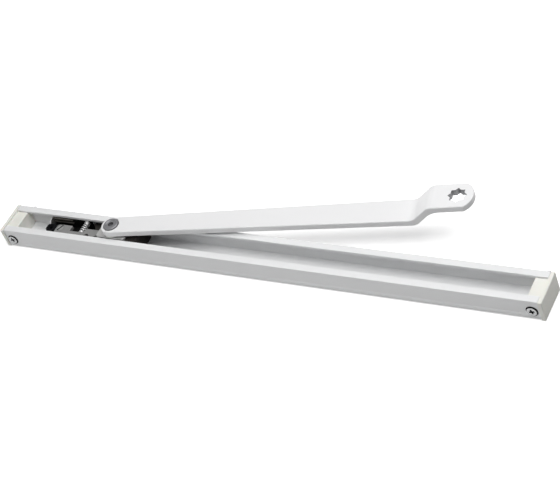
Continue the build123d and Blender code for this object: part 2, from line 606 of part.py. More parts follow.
with BuildPart() as catch_lever:
    with BuildSketch(over_floor(LEVER_BOTTOM, LEVER_PIVOT_X)):
        with BuildLine():
            Polyline(
                (-LEVER_TAIL, LEVER_FRONT_Y),
                (-LEVER_TAIL, LEVER_BACK_Y),
                (LEVER_PLATE_LENGTH, LEVER_BACK_Y),
                (LEVER_PLATE_LENGTH, LEVER_NECK_BACK_Y),
                (LEVER_HEAD_START, LEVER_NECK_BACK_Y),
                (LEVER_HEAD_START + LEVER_CORNER, LEVER_HEAD_BACK_Y),
                (head_end, LEVER_HEAD_BACK_Y),
                (head_end, LEVER_FRONT_Y + LEVER_RAMP),
                (head_end - LEVER_RAMP, LEVER_FRONT_Y),
                close=True,
            )
        make_face()
        tail_corners = vertices().group_by(Axis.X)[0]
        fillet(tail_corners, radius=LEVER_TAIL - LEVER_CORNER)
        with BuildLine():
            Polyline(
                notch_root + (-ramp_start.X - ramp_out, LEVER_FRONT_Y - CATCH_PIN_Y),
                notch_root + (-ramp_start.X, ramp_start.Y),
                notch_root + (ramp_start.X, ramp_start.Y),
                notch_root + (ramp_start.X + ramp_out, LEVER_FRONT_Y - CATCH_PIN_Y),
                close=True,
            )
        make_face(mode=Mode.SUBTRACT)
        with Locations(notch_root):
            Circle(notch_radius, mode=Mode.SUBTRACT)
    extrude(amount=LEVER_THICKNESS)
    chamfer(faces().sort_by(Axis.Z)[-1].outer_wire().edges(), length=LEVER_EDGE)
    with Locations(over_floor(LEVER_TOP, LEVER_PIVOT_X)):
        with Locations((0, LEVER_PIVOT_Y)):
            CounterBoreHole(
                PIVOT_SCREW_DIAMETER / 2 + RUNNING_FIT,
                PIVOT_SCREW_HEAD_DIAMETER / 2 + PART_GAP,
                LEVER_COUNTERBORE_DEPTH,
            )
    with BuildSketch(facing_back(LEVER_NECK_BACK_Y)):
        Circle(SPIGOT_DIAMETER / 2)
    extrude(amount=SPIGOT_LENGTH)

with BuildPart() as catch_pivot_screw:
    screw_head_bottom = lever_counterbore_floor + PART_GAP
    with BuildSketch(over_floor(boss_seat - PIVOT_SCREW_DEPTH, LEVER_PIVOT_X)):
        with Locations((0, LEVER_PIVOT_Y)):
            Circle(PIVOT_SCREW_DIAMETER / 2)
    extrude(amount=screw_head_bottom - boss_seat + PIVOT_SCREW_DEPTH)
    with BuildSketch(over_floor(screw_head_bottom, LEVER_PIVOT_X)):
        with Locations((0, LEVER_PIVOT_Y)):
            Circle(PIVOT_SCREW_HEAD_DIAMETER / 2)
    extrude(amount=PIVOT_SCREW_HEAD_HEIGHT)
    with BuildSketch(over_floor(screw_head_bottom + PIVOT_SCREW_HEAD_HEIGHT, LEVER_PIVOT_X)):
        with Locations((0, LEVER_PIVOT_Y)):
            Rectangle(
                PIVOT_SCREW_HEAD_DIAMETER,
                PIVOT_SCREW_SLOT_WIDTH,
                rotation=PIVOT_SCREW_SLOT_TURN,
            )
    extrude(amount=-PIVOT_SCREW_SLOT_DEPTH, mode=Mode.SUBTRACT)

with BuildPart() as spring_seat:
    with BuildSketch(facing_back(SEAT_FACE_Y)):
        Circle(SEAT_DIAMETER / 2)
    extrude(amount=SEAT_THICKNESS)
    with BuildSketch(facing_back(SEAT_FACE_Y)):
        Circle(SPIGOT_DIAMETER / 2)
    extrude(amount=-SPIGOT_LENGTH)

spring_start = LEVER_NECK_BACK_Y + SPRING_END_GAP + SPRING_WIRE / 2
spring_end = SEAT_FACE_Y - SPRING_END_GAP - SPRING_WIRE / 2
spring_radius = (SPRING_DIAMETER - SPRING_WIRE) / 2
coil_steps = round(SPRING_TURNS * SPRING_STEPS)
coil_step_angle = 360 * SPRING_TURNS / coil_steps
coil_step_rise = (spring_end - spring_start) / coil_steps
coil_points = [
    (
        spring_radius * cos(radians(step * coil_step_angle)),
        spring_radius * sin(radians(step * coil_step_angle)),
        step * coil_step_rise,
    )
    for step in range(coil_steps + 1)
]
with BuildPart() as catch_spring:
    with BuildLine(facing_back(spring_start)):
        coil = Polyline(*coil_points)
    with BuildSketch(Plane(origin=coil @ 0, z_dir=coil % 0)):
        RegularPolygon(SPRING_WIRE / 2, SPRING_WIRE_SIDES)
    sweep(path=coil, transition=Transition.RIGHT)

pieces = {
    "rail_profile": rail_profile,
    **end_caps,
    "fixing_screws": fixing_screws,
    "slider_block": slider_block,
    "slider_catch_pin": slider_catch_pin,
    "slider_shoe_long": slider_shoe_long,
    "slider_shoe_wedge": slider_shoe_wedge,
    "pivot_bolt": pivot_bolt,
    "arm_washer": arm_washer,
    "arm_bush": arm_bush,
    "lever_arm": lever_arm,
    "hold_open_base": hold_open_base,
    "hold_open_housing": hold_open_housing,
    "clamp_block": clamp_block,
    "clamp_screw": clamp_screw,
    "catch_lever": catch_lever,
    "catch_pivot_screw": catch_pivot_screw,
    "spring_seat": spring_seat,
    "catch_spring": catch_spring,
}

os.makedirs("parts", exist_ok=True)
for name, piece in pieces.items():
    piece.part.label = name
    export_step(piece.part, f"parts/{name}.step")
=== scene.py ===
"""Slide rail and lever arm of a door closer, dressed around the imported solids."""

import sys

import json
import logging
import math
from collections.abc import Callable
from dataclasses import dataclass, field
from enum import Enum
from typing import Any

import bmesh
import bpy
from mathutils import Matrix, Vector

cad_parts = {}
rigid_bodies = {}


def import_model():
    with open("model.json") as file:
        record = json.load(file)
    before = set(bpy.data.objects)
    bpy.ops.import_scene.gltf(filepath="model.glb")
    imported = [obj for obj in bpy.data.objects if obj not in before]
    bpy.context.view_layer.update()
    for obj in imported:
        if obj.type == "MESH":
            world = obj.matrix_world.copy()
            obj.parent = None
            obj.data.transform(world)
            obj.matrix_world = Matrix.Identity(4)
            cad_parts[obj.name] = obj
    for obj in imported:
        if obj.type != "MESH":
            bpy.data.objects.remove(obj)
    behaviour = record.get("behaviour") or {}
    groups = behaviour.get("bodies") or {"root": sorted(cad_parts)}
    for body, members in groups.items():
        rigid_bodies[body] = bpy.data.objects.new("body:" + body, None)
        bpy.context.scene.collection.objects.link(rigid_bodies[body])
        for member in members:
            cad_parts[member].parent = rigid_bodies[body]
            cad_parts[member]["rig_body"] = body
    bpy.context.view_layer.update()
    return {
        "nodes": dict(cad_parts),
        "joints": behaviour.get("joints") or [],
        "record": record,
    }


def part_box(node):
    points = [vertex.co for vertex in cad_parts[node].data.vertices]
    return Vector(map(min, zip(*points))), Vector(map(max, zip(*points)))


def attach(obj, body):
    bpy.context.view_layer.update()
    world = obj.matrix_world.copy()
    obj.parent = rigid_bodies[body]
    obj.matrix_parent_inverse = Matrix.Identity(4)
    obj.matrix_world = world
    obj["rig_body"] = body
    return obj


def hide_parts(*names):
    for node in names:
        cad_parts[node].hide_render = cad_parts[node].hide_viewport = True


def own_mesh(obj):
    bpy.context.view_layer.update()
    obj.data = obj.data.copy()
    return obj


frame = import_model()
JOINTS = {joint["name"]: joint for joint in frame["joints"]}
MOUNTS = {mount["name"]: mount for mount in frame["record"]["mounts"]}

LOG = logging.getLogger("slide_rail")
MM = 0.001
EDGE_ATTRIBUTE = "edge"
SCENE = bpy.context.scene

Colour = tuple[float, float, float]
Triple = tuple[float, float, float]
Piece = bpy.types.Object
Node = bpy.types.Node
Output = bpy.types.NodeSocket
Tree = bpy.types.NodeTree
Value = bpy.types.Node | bpy.types.NodeSocket | float


# ---- Node graphs ---------------------------------------------------------------------------------
class Socket(Enum):
    """Kinds of value that a node group takes in or puts out."""

    FLOAT = "NodeSocketFloat"
    COLOUR = "NodeSocketColor"
    VECTOR = "NodeSocketVector"
    INTEGER = "NodeSocketInt"
    GEOMETRY = "NodeSocketGeometry"
    MATERIAL = "NodeSocketMaterial"


class Graph:
    """Adds nodes to a tree and links them as they are named."""

    def __init__(self, tree: Tree) -> None:
        """Wraps a tree."""
        self.tree = tree

    def add(self, kind: str, inputs: dict[str | int, Any] | None = None, **settings: Any) -> Node:
        """Adds one node.

        Args:
            kind: the node's type.
            inputs: values, outputs, or nodes for their first output, by the input's name or number.
            **settings: the node's own options.

        Returns:
            The node.
        """
        node = self.tree.nodes.new(kind)
        for option, value in settings.items():
            setattr(node, option, value)
        for key, value in (inputs or {}).items():
            for source in value if isinstance(value, list) else [value]:
                if isinstance(source, Node):
                    source = source.outputs[0]
                if isinstance(source, Output):
                    self.tree.links.new(source, node.inputs[key])
                else:
                    node.inputs[key].default_value = source
        return node

    def chain(self, operation: str, *terms: Value) -> Node:
        """Joins terms from left to right with a two-input maths operation.

        Args:
            operation: what joins them.
            *terms: what is joined.

        Returns:
            The last node.
        """
        total = terms[0]
        for term in terms[1:]:
            total = self.add("ShaderNodeMath", {0: total, 1: term}, operation=operation)
        return total

    def plus(self, *terms: Value) -> Node:
        """Adds the terms up."""
        return self.chain("ADD", *terms)

    def minus(self, *terms: Value) -> Node:
        """Takes the later terms from the first."""
        return self.chain("SUBTRACT", *terms)

    def times(self, *terms: Value) -> Node:
        """Multiplies the terms."""
        return self.chain("MULTIPLY", *terms)

    def over(self, *terms: Value) -> Node:
        """Divides the first term by the later ones."""
        return self.chain("DIVIDE", *terms)

    def vector(self, x: Value = 0.0, y: Value = 0.0, z: Value = 0.0) -> Node:
        """Joins three numbers to a vector."""
        return self.add("ShaderNodeCombineXYZ", {0: x, 1: y, 2: z})

    def length(self, vector: Value) -> Output:
        """Measures a vector."""
        return self.add("ShaderNodeVectorMath", {0: vector}, operation="LENGTH").outputs["Value"]

    def ramp(
        self, value: Value, low: Value, high: Value, start: Value = 0.0, end: Value = 1.0
    ) -> Node:
        """Goes from start to end while a value goes from low to high."""
        return self.add("ShaderNodeMapRange", {0: value, 1: low, 2: high, 3: start, 4: end})

    def noise(self, vector: Value, scale: Value, detail: float) -> Node:
        """Adds a noise over a vector."""
        inputs = {"Vector": vector, "Scale": scale, "Detail": detail}
        return self.add("ShaderNodeTexNoise", inputs)

    def bump(self, height: Value, depth: Value) -> Node:
        """Turns a height into a normal."""
        return self.add("ShaderNodeBump", {"Height": height, "Distance": depth, "Strength": 1.0})


def new_group(
    name: str,
    kind: str,
    inputs: dict[Socket, tuple[str, ...]],
    outputs: dict[Socket, tuple[str, ...]],
) -> tuple[Graph, bpy.types.NodeOutputs]:
    """Makes an empty node group with named sockets.

    Args:
        name: the group's name.
        kind: ShaderNodeTree or GeometryNodeTree.
        inputs: the inputs' names by their kind.
        outputs: the outputs' names by their kind.

    Returns:
        The graph, and what the group is given.
    """
    tree = bpy.data.node_groups.new(name, kind)
    for side, sockets in (("INPUT", inputs), ("OUTPUT", outputs)):
        for socket, labels in sockets.items():
            for label in labels:
                tree.interface.new_socket(label, in_out=side, socket_type=socket.value)
    graph = Graph(tree)
    return graph, graph.add("NodeGroupInput").outputs


def blank_graph(holder: bpy.types.Material | bpy.types.World) -> Graph:
    """Clears a material's or a world's nodes.

    Args:
        holder: the material or world.

    Returns:
        Its empty graph.
    """
    holder.use_nodes = True
    holder.node_tree.nodes.clear()
    return Graph(holder.node_tree)


# ---- Effects that several finishes share ---------------------------------------------------------
TONE_DETAIL = 4.0
GRAIN_DETAIL = 3.0
EDGE_TINT_SCALE, EDGE_TINT_DETAIL, EDGE_TINT_RANGE = 300.0, 5.0, (0.35, 0.65)
DUST_SCALE, DUST_DETAIL, DUST_RANGE = 220.0, 6.0, (0.3, 0.75)
DUST_SLOPE = (0.3, 1.0)


class Effect(Enum):
    """Shader groups, each built once."""

    UNEVEN_TONE = "uneven_tone"
    FINE_GRAIN = "fine_grain"
    EDGE_WEAR = "edge_wear"
    TURNED_RINGS = "turned_rings"
    SETTLED_DUST = "settled_dust"


def build_uneven_tone() -> Tree:
    """A colour that wanders a little, as any coat or moulding does.

    Returns:
        The group.
    """
    graph, given = new_group(
        Effect.UNEVEN_TONE.value,
        "ShaderNodeTree",
        {
            Socket.VECTOR: ("Vector",),
            Socket.COLOUR: ("Colour",),
            Socket.FLOAT: ("Scale", "Amount"),
        },
        {Socket.COLOUR: ("Colour",)},
    )
    noise = graph.noise(given["Vector"], given["Scale"], TONE_DETAIL)
    swing = graph.times(graph.minus(noise, 0.5), given["Amount"], 2.0)
    scaled = graph.add(
        "ShaderNodeVectorMath",
        {0: given["Colour"], "Scale": graph.plus(swing, 1.0)},
        operation="SCALE",
    )
    graph.add("NodeGroupOutput", {"Colour": scaled})
    return graph.tree


def build_fine_grain() -> Tree:
    """Raised grain: orange peel, spark-eroded plastic or drawn lines, by its stretch.

    Returns:
        The group.
    """
    graph, given = new_group(
        Effect.FINE_GRAIN.value,
        "ShaderNodeTree",
        {Socket.VECTOR: ("Vector", "Stretch"), Socket.FLOAT: ("Scale", "Depth")},
        {Socket.VECTOR: ("Normal",), Socket.FLOAT: ("Value",)},
    )
    stretched = graph.add(
        "ShaderNodeVectorMath", {0: given["Vector"], 1: given["Stretch"]}, operation="MULTIPLY"
    )
    noise = graph.noise(stretched, given["Scale"], GRAIN_DETAIL)
    graph.add("NodeGroupOutput", {"Normal": graph.bump(noise, given["Depth"]), "Value": noise})
    return graph.tree


def build_edge_tint() -> Tree:
    """Patches along softened edges, from the edge attribute that dressing leaves: rubbed wear on most
    finishes, painted shade on the pivot bolt's rim.

    Returns:
        The group.
    """
    graph, given = new_group(
        Effect.EDGE_WEAR.value,
        "ShaderNodeTree",
        {Socket.VECTOR: ("Vector",), Socket.FLOAT: ("Amount",)},
        {Socket.FLOAT: ("Mask",)},
    )
    edge = graph.add("ShaderNodeAttribute", attribute_name=EDGE_ATTRIBUTE).outputs["Fac"]
    patchy = graph.ramp(graph.noise(given["Vector"], EDGE_TINT_SCALE, EDGE_TINT_DETAIL), *EDGE_TINT_RANGE)
    graph.add("NodeGroupOutput", {"Mask": graph.times(edge, patchy, given["Amount"])})
    return graph.tree


def build_turned_rings() -> Tree:
    """Rings that a lathe leaves about the piece's own axis, the vector's Z.

    Returns:
        The group.
    """
    graph, given = new_group(
        Effect.TURNED_RINGS.value,
        "ShaderNodeTree",
        {Socket.VECTOR: ("Vector",), Socket.FLOAT: ("Pitch", "Depth")},
        {Socket.VECTOR: ("Normal",), Socket.FLOAT: ("Value",)},
    )
    flat = graph.add(
        "ShaderNodeVectorMath", {0: given["Vector"], 1: (1.0, 1.0, 0.0)}, operation="MULTIPLY"
    )
    turns = graph.over(graph.length(flat), given["Pitch"])
    noise = graph.add("ShaderNodeTexNoise", {"W": turns, "Scale": 1.0}, noise_dimensions="1D")
    graph.add("NodeGroupOutput", {"Normal": graph.bump(noise, given["Depth"]), "Value": noise})
    return graph.tree


def build_settled_dust() -> Tree:
    """A faint veil on what faces up, thin and patchy.

    Returns:
        The group.
    """
    graph, given = new_group(
        Effect.SETTLED_DUST.value,
        "ShaderNodeTree",
        {Socket.VECTOR: ("Vector",), Socket.FLOAT: ("Amount",)},
        {Socket.FLOAT: ("Mask",)},
    )
    facing = graph.add("ShaderNodeNewGeometry").outputs["Normal"]
    height = graph.add("ShaderNodeSeparateXYZ", {0: facing}).outputs[2]
    upward = graph.ramp(height, *DUST_SLOPE)
    patchy = graph.ramp(graph.noise(given["Vector"], DUST_SCALE, DUST_DETAIL), *DUST_RANGE)
    graph.add("NodeGroupOutput", {"Mask": graph.times(upward, patchy, given["Amount"])})
    return graph.tree


EFFECT_BUILDERS: dict[Effect, Callable[[], Tree]] = {
    Effect.UNEVEN_TONE: build_uneven_tone,
    Effect.FINE_GRAIN: build_fine_grain,
    Effect.EDGE_WEAR: build_edge_tint,
    Effect.TURNED_RINGS: build_turned_rings,
    Effect.SETTLED_DUST: build_settled_dust,
}


def place_effect(graph: Graph, effect: Effect, inputs: dict[str, Any]) -> Node:
    """Places a shared group in a material, and builds it the first time.

    Args:
        graph: the material's graph.
        effect: which group.
        inputs: this material's values for it.

    Returns:
        The group node.
    """
    tree = bpy.data.node_groups.get(effect.value) or EFFECT_BUILDERS[effect]()
    return graph.add("ShaderNodeGroup", inputs, node_tree=tree)


# ---- Finishes ------------------------------------------------------------------------------------
DUST_COLOUR: Colour = (0.55, 0.54, 0.52)
ROUGHNESS_SWING = 0.05
ROUGHNESS_RANGE = (0.25, 0.75)
SCATTER_REACH = 1.0 * MM
RING_PITCH = 0.3 * MM
RING_DEPTH = 0.006 * MM
# The colour sockets of a Mix node go by number, because their names repeat.
MIX_UNDER, MIX_OVER, MIX_RESULT = 6, 7, 2
ARM_PIVOT: Triple = tuple(JOINTS["arm_swing"]["pos_m"])
LEVER_PIVOT: Triple = tuple(JOINTS["catch_swing"]["pos_m"])


@dataclass(frozen=True)
class Finish:
    """What a piece is made of or coated with; scales are per metre, depths in metres."""

    name: str
    slot: str
    colour: Colour
    roughness: float
    metallic: float = 0.0
    tone_scale: float = 60.0
    tone_swing: float = 0.03
    grain_scale: float = 900.0
    grain_depth: float = 0.00001
    grain_stretch: Triple = (1.0, 1.0, 1.0)
    edge_colour: Colour = (0.6, 0.6, 0.6)
    wear: float = 0.0
    dust: float = 0.0
    specular: float = 0.5

    def material(self) -> bpy.types.Material:
        """Gives the finish's material, built the first time."""
        return bpy.data.materials.get(self.name) or self._build()

    def _build(self) -> bpy.types.Material:
        """Builds the node material.

        Returns:
            The material.
        """
        made = bpy.data.materials.new(self.name)
        graph = blank_graph(made)
        vector = graph.add("ShaderNodeTexCoord").outputs["Object"]
        tone = place_effect(
            graph,
            Effect.UNEVEN_TONE,
            {
                "Vector": vector,
                "Colour": (*self.colour, 1.0),
                "Scale": self.tone_scale,
                "Amount": self.tone_swing,
            },
        )
        normal, relief = self._relief(graph, vector).outputs
        smooth, rough = self.roughness - ROUGHNESS_SWING, self.roughness + ROUGHNESS_SWING
        shader = graph.add(
            "ShaderNodeBsdfPrincipled",
            {
                "Base Color": self._tint_edges_and_dust(graph, vector, tone),
                "Roughness": graph.ramp(relief, *ROUGHNESS_RANGE, smooth, rough),
                "Metallic": self.metallic,
                "Normal": normal,
                **self._gloss(),
            },
        )
        graph.add("ShaderNodeOutputMaterial", {"Surface": shader})
        return made

    def _tint_edges_and_dust(self, graph: Graph, vector: Output, colour: Value) -> Value:
        """Lays the edge tint and dust over the base colour.

        Args:
            graph: the material's graph.
            vector: the object's coordinates.
            colour: the colour so far.

        Returns:
            The weathered colour.
        """
        layers = (
            (self.wear, Effect.EDGE_WEAR, self.edge_colour),
            (self.dust, Effect.SETTLED_DUST, DUST_COLOUR),
        )
        for amount, effect, over in layers:
            if amount > 0.0:
                mask = place_effect(graph, effect, {"Vector": vector, "Amount": amount})
                inputs = {0: mask, MIX_UNDER: colour, MIX_OVER: (*over, 1.0)}
                mixed = graph.add("ShaderNodeMix", inputs, data_type="RGBA")
                colour = mixed.outputs[MIX_RESULT]
        return colour

    def _relief(self, graph: Graph, vector: Output) -> Node:
        """Raises the finish's grain.

        Args:
            graph: the material's graph.
            vector: the object's coordinates.

        Returns:
            The node that gives the normal, and the grain's height from 0 to 1.
        """
        return place_effect(
            graph,
            Effect.FINE_GRAIN,
            {
                "Vector": vector,
                "Stretch": self.grain_stretch,
                "Scale": self.grain_scale,
                "Depth": self.grain_depth,
            },
        )

    def _gloss(self) -> dict[str, float]:
        """Says how strongly the plain surface shines."""
        return {"Specular IOR Level": self.specular}


@dataclass(frozen=True)
class Moulding(Finish):
    """Injection-moulded plastic, a little light passing into it."""

    depth: float = 0.0

    def _gloss(self) -> dict[str, float]:
        """Lets a little light in."""
        inside = {"Subsurface Weight": self.depth, "Subsurface Scale": SCATTER_REACH}
        return super()._gloss() | inside


@dataclass(frozen=True)
class TurnedSteel(Finish):
    """Lathe-turned metal, with rings about its own axis."""

    axis_point: Triple = (0.0, 0.0, 0.0)
    axis_turn: Triple = (0.0, 0.0, 0.0)

    def _relief(self, graph: Graph, vector: Output) -> Node:
        """Cuts the lathe's rings about the axis.

        Args:
            graph: the material's graph.
            vector: the object's coordinates.

        Returns:
            The node that gives the normal, and the rings' height from 0 to 1.
        """
        centred = graph.add(
            "ShaderNodeMapping",
            {"Vector": vector, "Location": self.axis_point, "Rotation": self.axis_turn},
            vector_type="TEXTURE",
        )
        rings = {"Vector": centred, "Pitch": RING_PITCH, "Depth": RING_DEPTH}
        return place_effect(graph, Effect.TURNED_RINGS, rings)


class Surface(Enum):
    """The finishes on this object."""

    RAIL_POWDER = Finish(
        "rail_powder_coat", "rail_coat", (0.80, 0.805, 0.81), 0.36,
        tone_scale=35.0, tone_swing=0.012, grain_scale=1400.0, grain_depth=0.000012,
        edge_colour=(0.88, 0.88, 0.88), wear=0.5, dust=0.02,
    )
    ARM_POWDER = Finish(
        "arm_powder_coat", "arm_coat", (0.83, 0.83, 0.835), 0.36,
        tone_scale=35.0, tone_swing=0.01, grain_scale=1200.0, grain_depth=0.000014,
        edge_colour=(0.9, 0.9, 0.9), wear=0.5, dust=0.02,
    )
    # Near-black paint for the shade in the rail's counterbores, in the screws' crosses and on their
    # flanks, and in the lever screw's slot.
    RECESS_SHADE = Finish(
        "painted_recess_shade", "rail_coat", (0.012, 0.012, 0.013), 0.7,
        tone_scale=400.0, tone_swing=0.3, grain_scale=1500.0, grain_depth=0.000015, specular=0.1,
    )
    CAP_PLASTIC = Moulding(
        "warm_white_moulding", "cap_plastic", (0.81, 0.805, 0.75), 0.5,
        tone_scale=45.0, tone_swing=0.015, grain_scale=2600.0, grain_depth=0.00001,
        edge_colour=(0.87, 0.865, 0.82), wear=0.4, dust=0.02, depth=0.08,
    )
    PLATED_STEEL = Finish(
        "zinc_plated_steel", "bright_steel", (0.56, 0.56, 0.56), 0.34,
        metallic=0.9, tone_scale=260.0, tone_swing=0.12, grain_scale=1500.0, grain_depth=0.000006,
        edge_colour=(0.75, 0.75, 0.75), wear=0.6,
    )
    SATIN_SCREW = TurnedSteel(
        "satin_plated_screw", "bright_steel", (0.44, 0.445, 0.45), 0.42,
        metallic=0.6, tone_scale=350.0, tone_swing=0.12, edge_colour=(0.72, 0.72, 0.73), wear=0.6,
        axis_turn=(math.pi / 2, 0.0, 0.0),
    )
    # Near black on a bright steel pin: painted shade for the dark notch around it.
    SHADED_PIN = Finish(
        "shaded_catch_pin", "bright_steel", (0.02, 0.02, 0.02), 0.45,
        metallic=0.3, tone_scale=500.0, tone_swing=0.2, grain_scale=1800.0, grain_depth=0.000005,
        edge_colour=(0.1, 0.1, 0.1), wear=0.4, specular=0.2,
    )
    # Its darker edge colour paints shade on the bolt head's rim.
    DARK_NICKEL = TurnedSteel(
        "dark_nickel", "pivot_steel", (0.165, 0.165, 0.173), 0.38,
        metallic=0.9, tone_scale=300.0, tone_swing=0.14, edge_colour=(0.09, 0.09, 0.095),
        wear=0.7, axis_point=ARM_PIVOT,
    )
    CAST_ZINC = Finish(
        "blasted_zinc_casting", "zinc_casting", (0.37, 0.37, 0.365), 0.5,
        metallic=0.3, tone_scale=180.0, tone_swing=0.12, grain_scale=2200.0, grain_depth=0.00002,
        edge_colour=(0.5, 0.5, 0.49), wear=0.6,
    )
    # A darker copy of the zinc casting: painted shade on the catch lever.
    SHADED_ZINC = Finish(
        "shaded_zinc_casting", "zinc_casting", (0.2, 0.2, 0.197), 0.5,
        metallic=0.3, tone_scale=180.0, tone_swing=0.12, grain_scale=2200.0, grain_depth=0.00002,
        edge_colour=(0.34, 0.34, 0.333), wear=0.6,
    )
    SLOTTED_ZINC = TurnedSteel(
        "slotted_zinc_screw", "zinc_casting", (0.26, 0.26, 0.255), 0.42,
        metallic=0.4, tone_scale=200.0, tone_swing=0.1, edge_colour=(0.4, 0.4, 0.395), wear=0.6,
        axis_point=LEVER_PIVOT,
    )
    DRAWN_WIRE = Finish(
        "bright_drawn_wire", "spring_steel", (0.62, 0.62, 0.62), 0.26,
        metallic=1.0, tone_scale=500.0, tone_swing=0.06, grain_scale=1800.0, grain_depth=0.000003,
        grain_stretch=(1.0, 0.2, 1.0),
    )
    BLACK_MOULDING = Moulding(
        "black_moulding", "black_plastic", (0.006, 0.006, 0.006), 0.6,
        tone_scale=150.0, tone_swing=0.2, grain_scale=2400.0, grain_depth=0.000016,
        edge_colour=(0.03, 0.03, 0.03), wear=0.4, specular=0.06,
    )
    # Lighter, glossier black: painted highlights on the housing's ribs.
    RIB_HIGHLIGHT_MOULDING = Moulding(
        "rib_highlight_moulding", "black_plastic", (0.1, 0.092, 0.08), 0.4,
        tone_scale=220.0, tone_swing=0.3, grain_scale=1800.0, grain_depth=0.00001,
        edge_colour=(0.16, 0.15, 0.135), wear=0.6, specular=0.4,
    )
    SHOE_MOULDING = Moulding(
        "filled_nylon_moulding", "black_plastic", (0.022, 0.02, 0.018), 0.55,
        tone_scale=160.0, tone_swing=0.2, grain_scale=2000.0, grain_depth=0.000014,
        edge_colour=(0.05, 0.047, 0.044), wear=0.4, specular=0.15,
    )
    BLACK_OXIDE = Finish(
        "black_oxide_steel", "black_steel", (0.005, 0.005, 0.006), 0.7,
        tone_scale=300.0, tone_swing=0.2, grain_scale=1600.0, grain_depth=0.000008,
        edge_colour=(0.03, 0.03, 0.03), wear=0.3, specular=0.04,
    )
    NATURAL_ACETAL = Moulding(
        "natural_acetal", "bearing_plastic", (0.72, 0.71, 0.66), 0.4,
        tone_scale=90.0, tone_swing=0.03, grain_scale=2000.0, grain_depth=0.000006, depth=0.1,
    )
    BROACHED_STEEL = Finish(
        "broached_steel", "arm_coat", (0.3, 0.3, 0.31), 0.45,
        metallic=0.5, tone_scale=350.0, tone_swing=0.3, grain_scale=1500.0, grain_depth=0.00002,
        grain_stretch=(1.0, 1.0, 0.12), edge_colour=(0.12, 0.12, 0.13), wear=0.9,
    )


# ---- Mesh work -----------------------------------------------------------------------------------
SHARP_EDGE = math.radians(38.0)
FLAT_ANGLE = math.radians(0.6)
# A face stands across an axis where less than this share of its normal lies along it.
LEVEL_TILT = 0.5
# How far off a face may lie and still count as there, in millimetres.
FACE_SLACK = 0.1
MERGE_DISTANCE = 0.002 * MM
ROUND_SEGMENTS = 2
ROUND_PROFILE = 0.5
FULL_WEIGHT = 100


class Round(Enum):
    """How wide a piece's edges are rounded, in metres."""

    FINE = 0.08 * MM
    THIN = 0.1 * MM
    TURNED = 0.12 * MM
    CAST = 0.15 * MM
    PLAIN = 0.2 * MM
    MOULDED = 0.4 * MM
    COATED = 0.45 * MM


def soften_edges(mesh: bmesh.types.BMesh, width: Round) -> None:
    """Breaks every sharp edge with a small round and marks it for the edge tint.

    Args:
        mesh: the mesh, changed in place.
        width: the round's width.
    """
    layer = mesh.verts.layers.float.new(EDGE_ATTRIBUTE)
    sharp = [
        edge
        for edge in mesh.edges
        if len(edge.link_faces) == 2 and edge.calc_face_angle() > SHARP_EDGE
    ]
    result = bmesh.ops.bevel(
        mesh,
        geom=sharp,
        offset=width.value,
        offset_type="OFFSET",
        segments=ROUND_SEGMENTS,
        profile=ROUND_PROFILE,
        affect="EDGES",
        clamp_overlap=True,
    )
    rounded = set(result["faces"])
    for vert in result["verts"]:
        if all(face in rounded for face in vert.link_faces):
            vert[layer] = 1.0


def bake_modifiers(piece: Piece) -> None:
    """Turns the evaluated piece into a plain mesh with no modifiers.

    Args:
        piece: the object, changed in place.
    """
    graph = bpy.context.evaluated_depsgraph_get()
    graph.update()
    plain = bpy.data.meshes.new_from_object(
        piece.evaluated_get(graph), preserve_all_data_layers=True, depsgraph=graph
    )
    piece.modifiers.clear()
    piece.data = plain


def even_normals(piece: Piece) -> None:
    """Shades flats flat and rounds round, and bakes the normals into the mesh.

    Args:
        piece: a mesh object, changed in place.
    """
    for face in piece.data.polygons:
        face.use_smooth = True
    piece.data.set_sharp_from_angle(angle=SHARP_EDGE)
    weighted = piece.modifiers.new("even", "WEIGHTED_NORMAL")
    weighted.keep_sharp = True
    weighted.weight = FULL_WEIGHT
    bake_modifiers(piece)


def new_piece(name: str, mesh: bpy.types.Mesh) -> Piece:
    """Links a mesh into the scene as an object at the origin.

    Args:
        name: the piece's name.
        mesh: its mesh.

    Returns:
        The object.
    """
    piece = bpy.data.objects.new(name, mesh)
    SCENE.collection.objects.link(piece)
    return piece


def finished_piece(name: str, source: bmesh.types.BMesh, surface: Surface) -> Piece:
    """Makes a working mesh a piece with its finish and even shading, and frees the mesh.

    Args:
        name: the piece's name.
        source: the working mesh.
        surface: the piece's finish.

    Returns:
        The piece.
    """
    mesh = bpy.data.meshes.new(name)
    source.to_mesh(mesh)
    source.free()
    # Clearing the materials also sets every face back to the first one.
    mesh.materials.clear()
    mesh.materials.append(surface.value.material())
    piece = new_piece(name, mesh)
    even_normals(piece)
    return piece


def paint_faces(
    piece: Piece, surface: Surface, chosen: Callable[[bpy.types.MeshPolygon], bool]
) -> None:
    """Gives some of a piece's faces a second finish.

    Args:
        piece: the piece, changed in place.
        surface: the second finish.
        chosen: says whether a face takes it.
    """
    piece.data.materials.append(surface.value.material())
    index = len(piece.data.materials) - 1
    for face in piece.data.polygons:
        if chosen(face):
            face.material_index = index


def solid_copy(node: str) -> bmesh.types.BMesh:
    """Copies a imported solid's mesh, merged and with its flats joined up.

    Args:
        node: the solid's name.

    Returns:
        The mesh, for the caller to free.
    """
    mesh = bmesh.new()
    mesh.from_mesh(frame["nodes"][node].data)
    bmesh.ops.remove_doubles(mesh, verts=mesh.verts, dist=MERGE_DISTANCE)
    bmesh.ops.dissolve_limit(
        mesh, angle_limit=FLAT_ANGLE, verts=mesh.verts, edges=mesh.edges, delimit=set()
    )
    return mesh


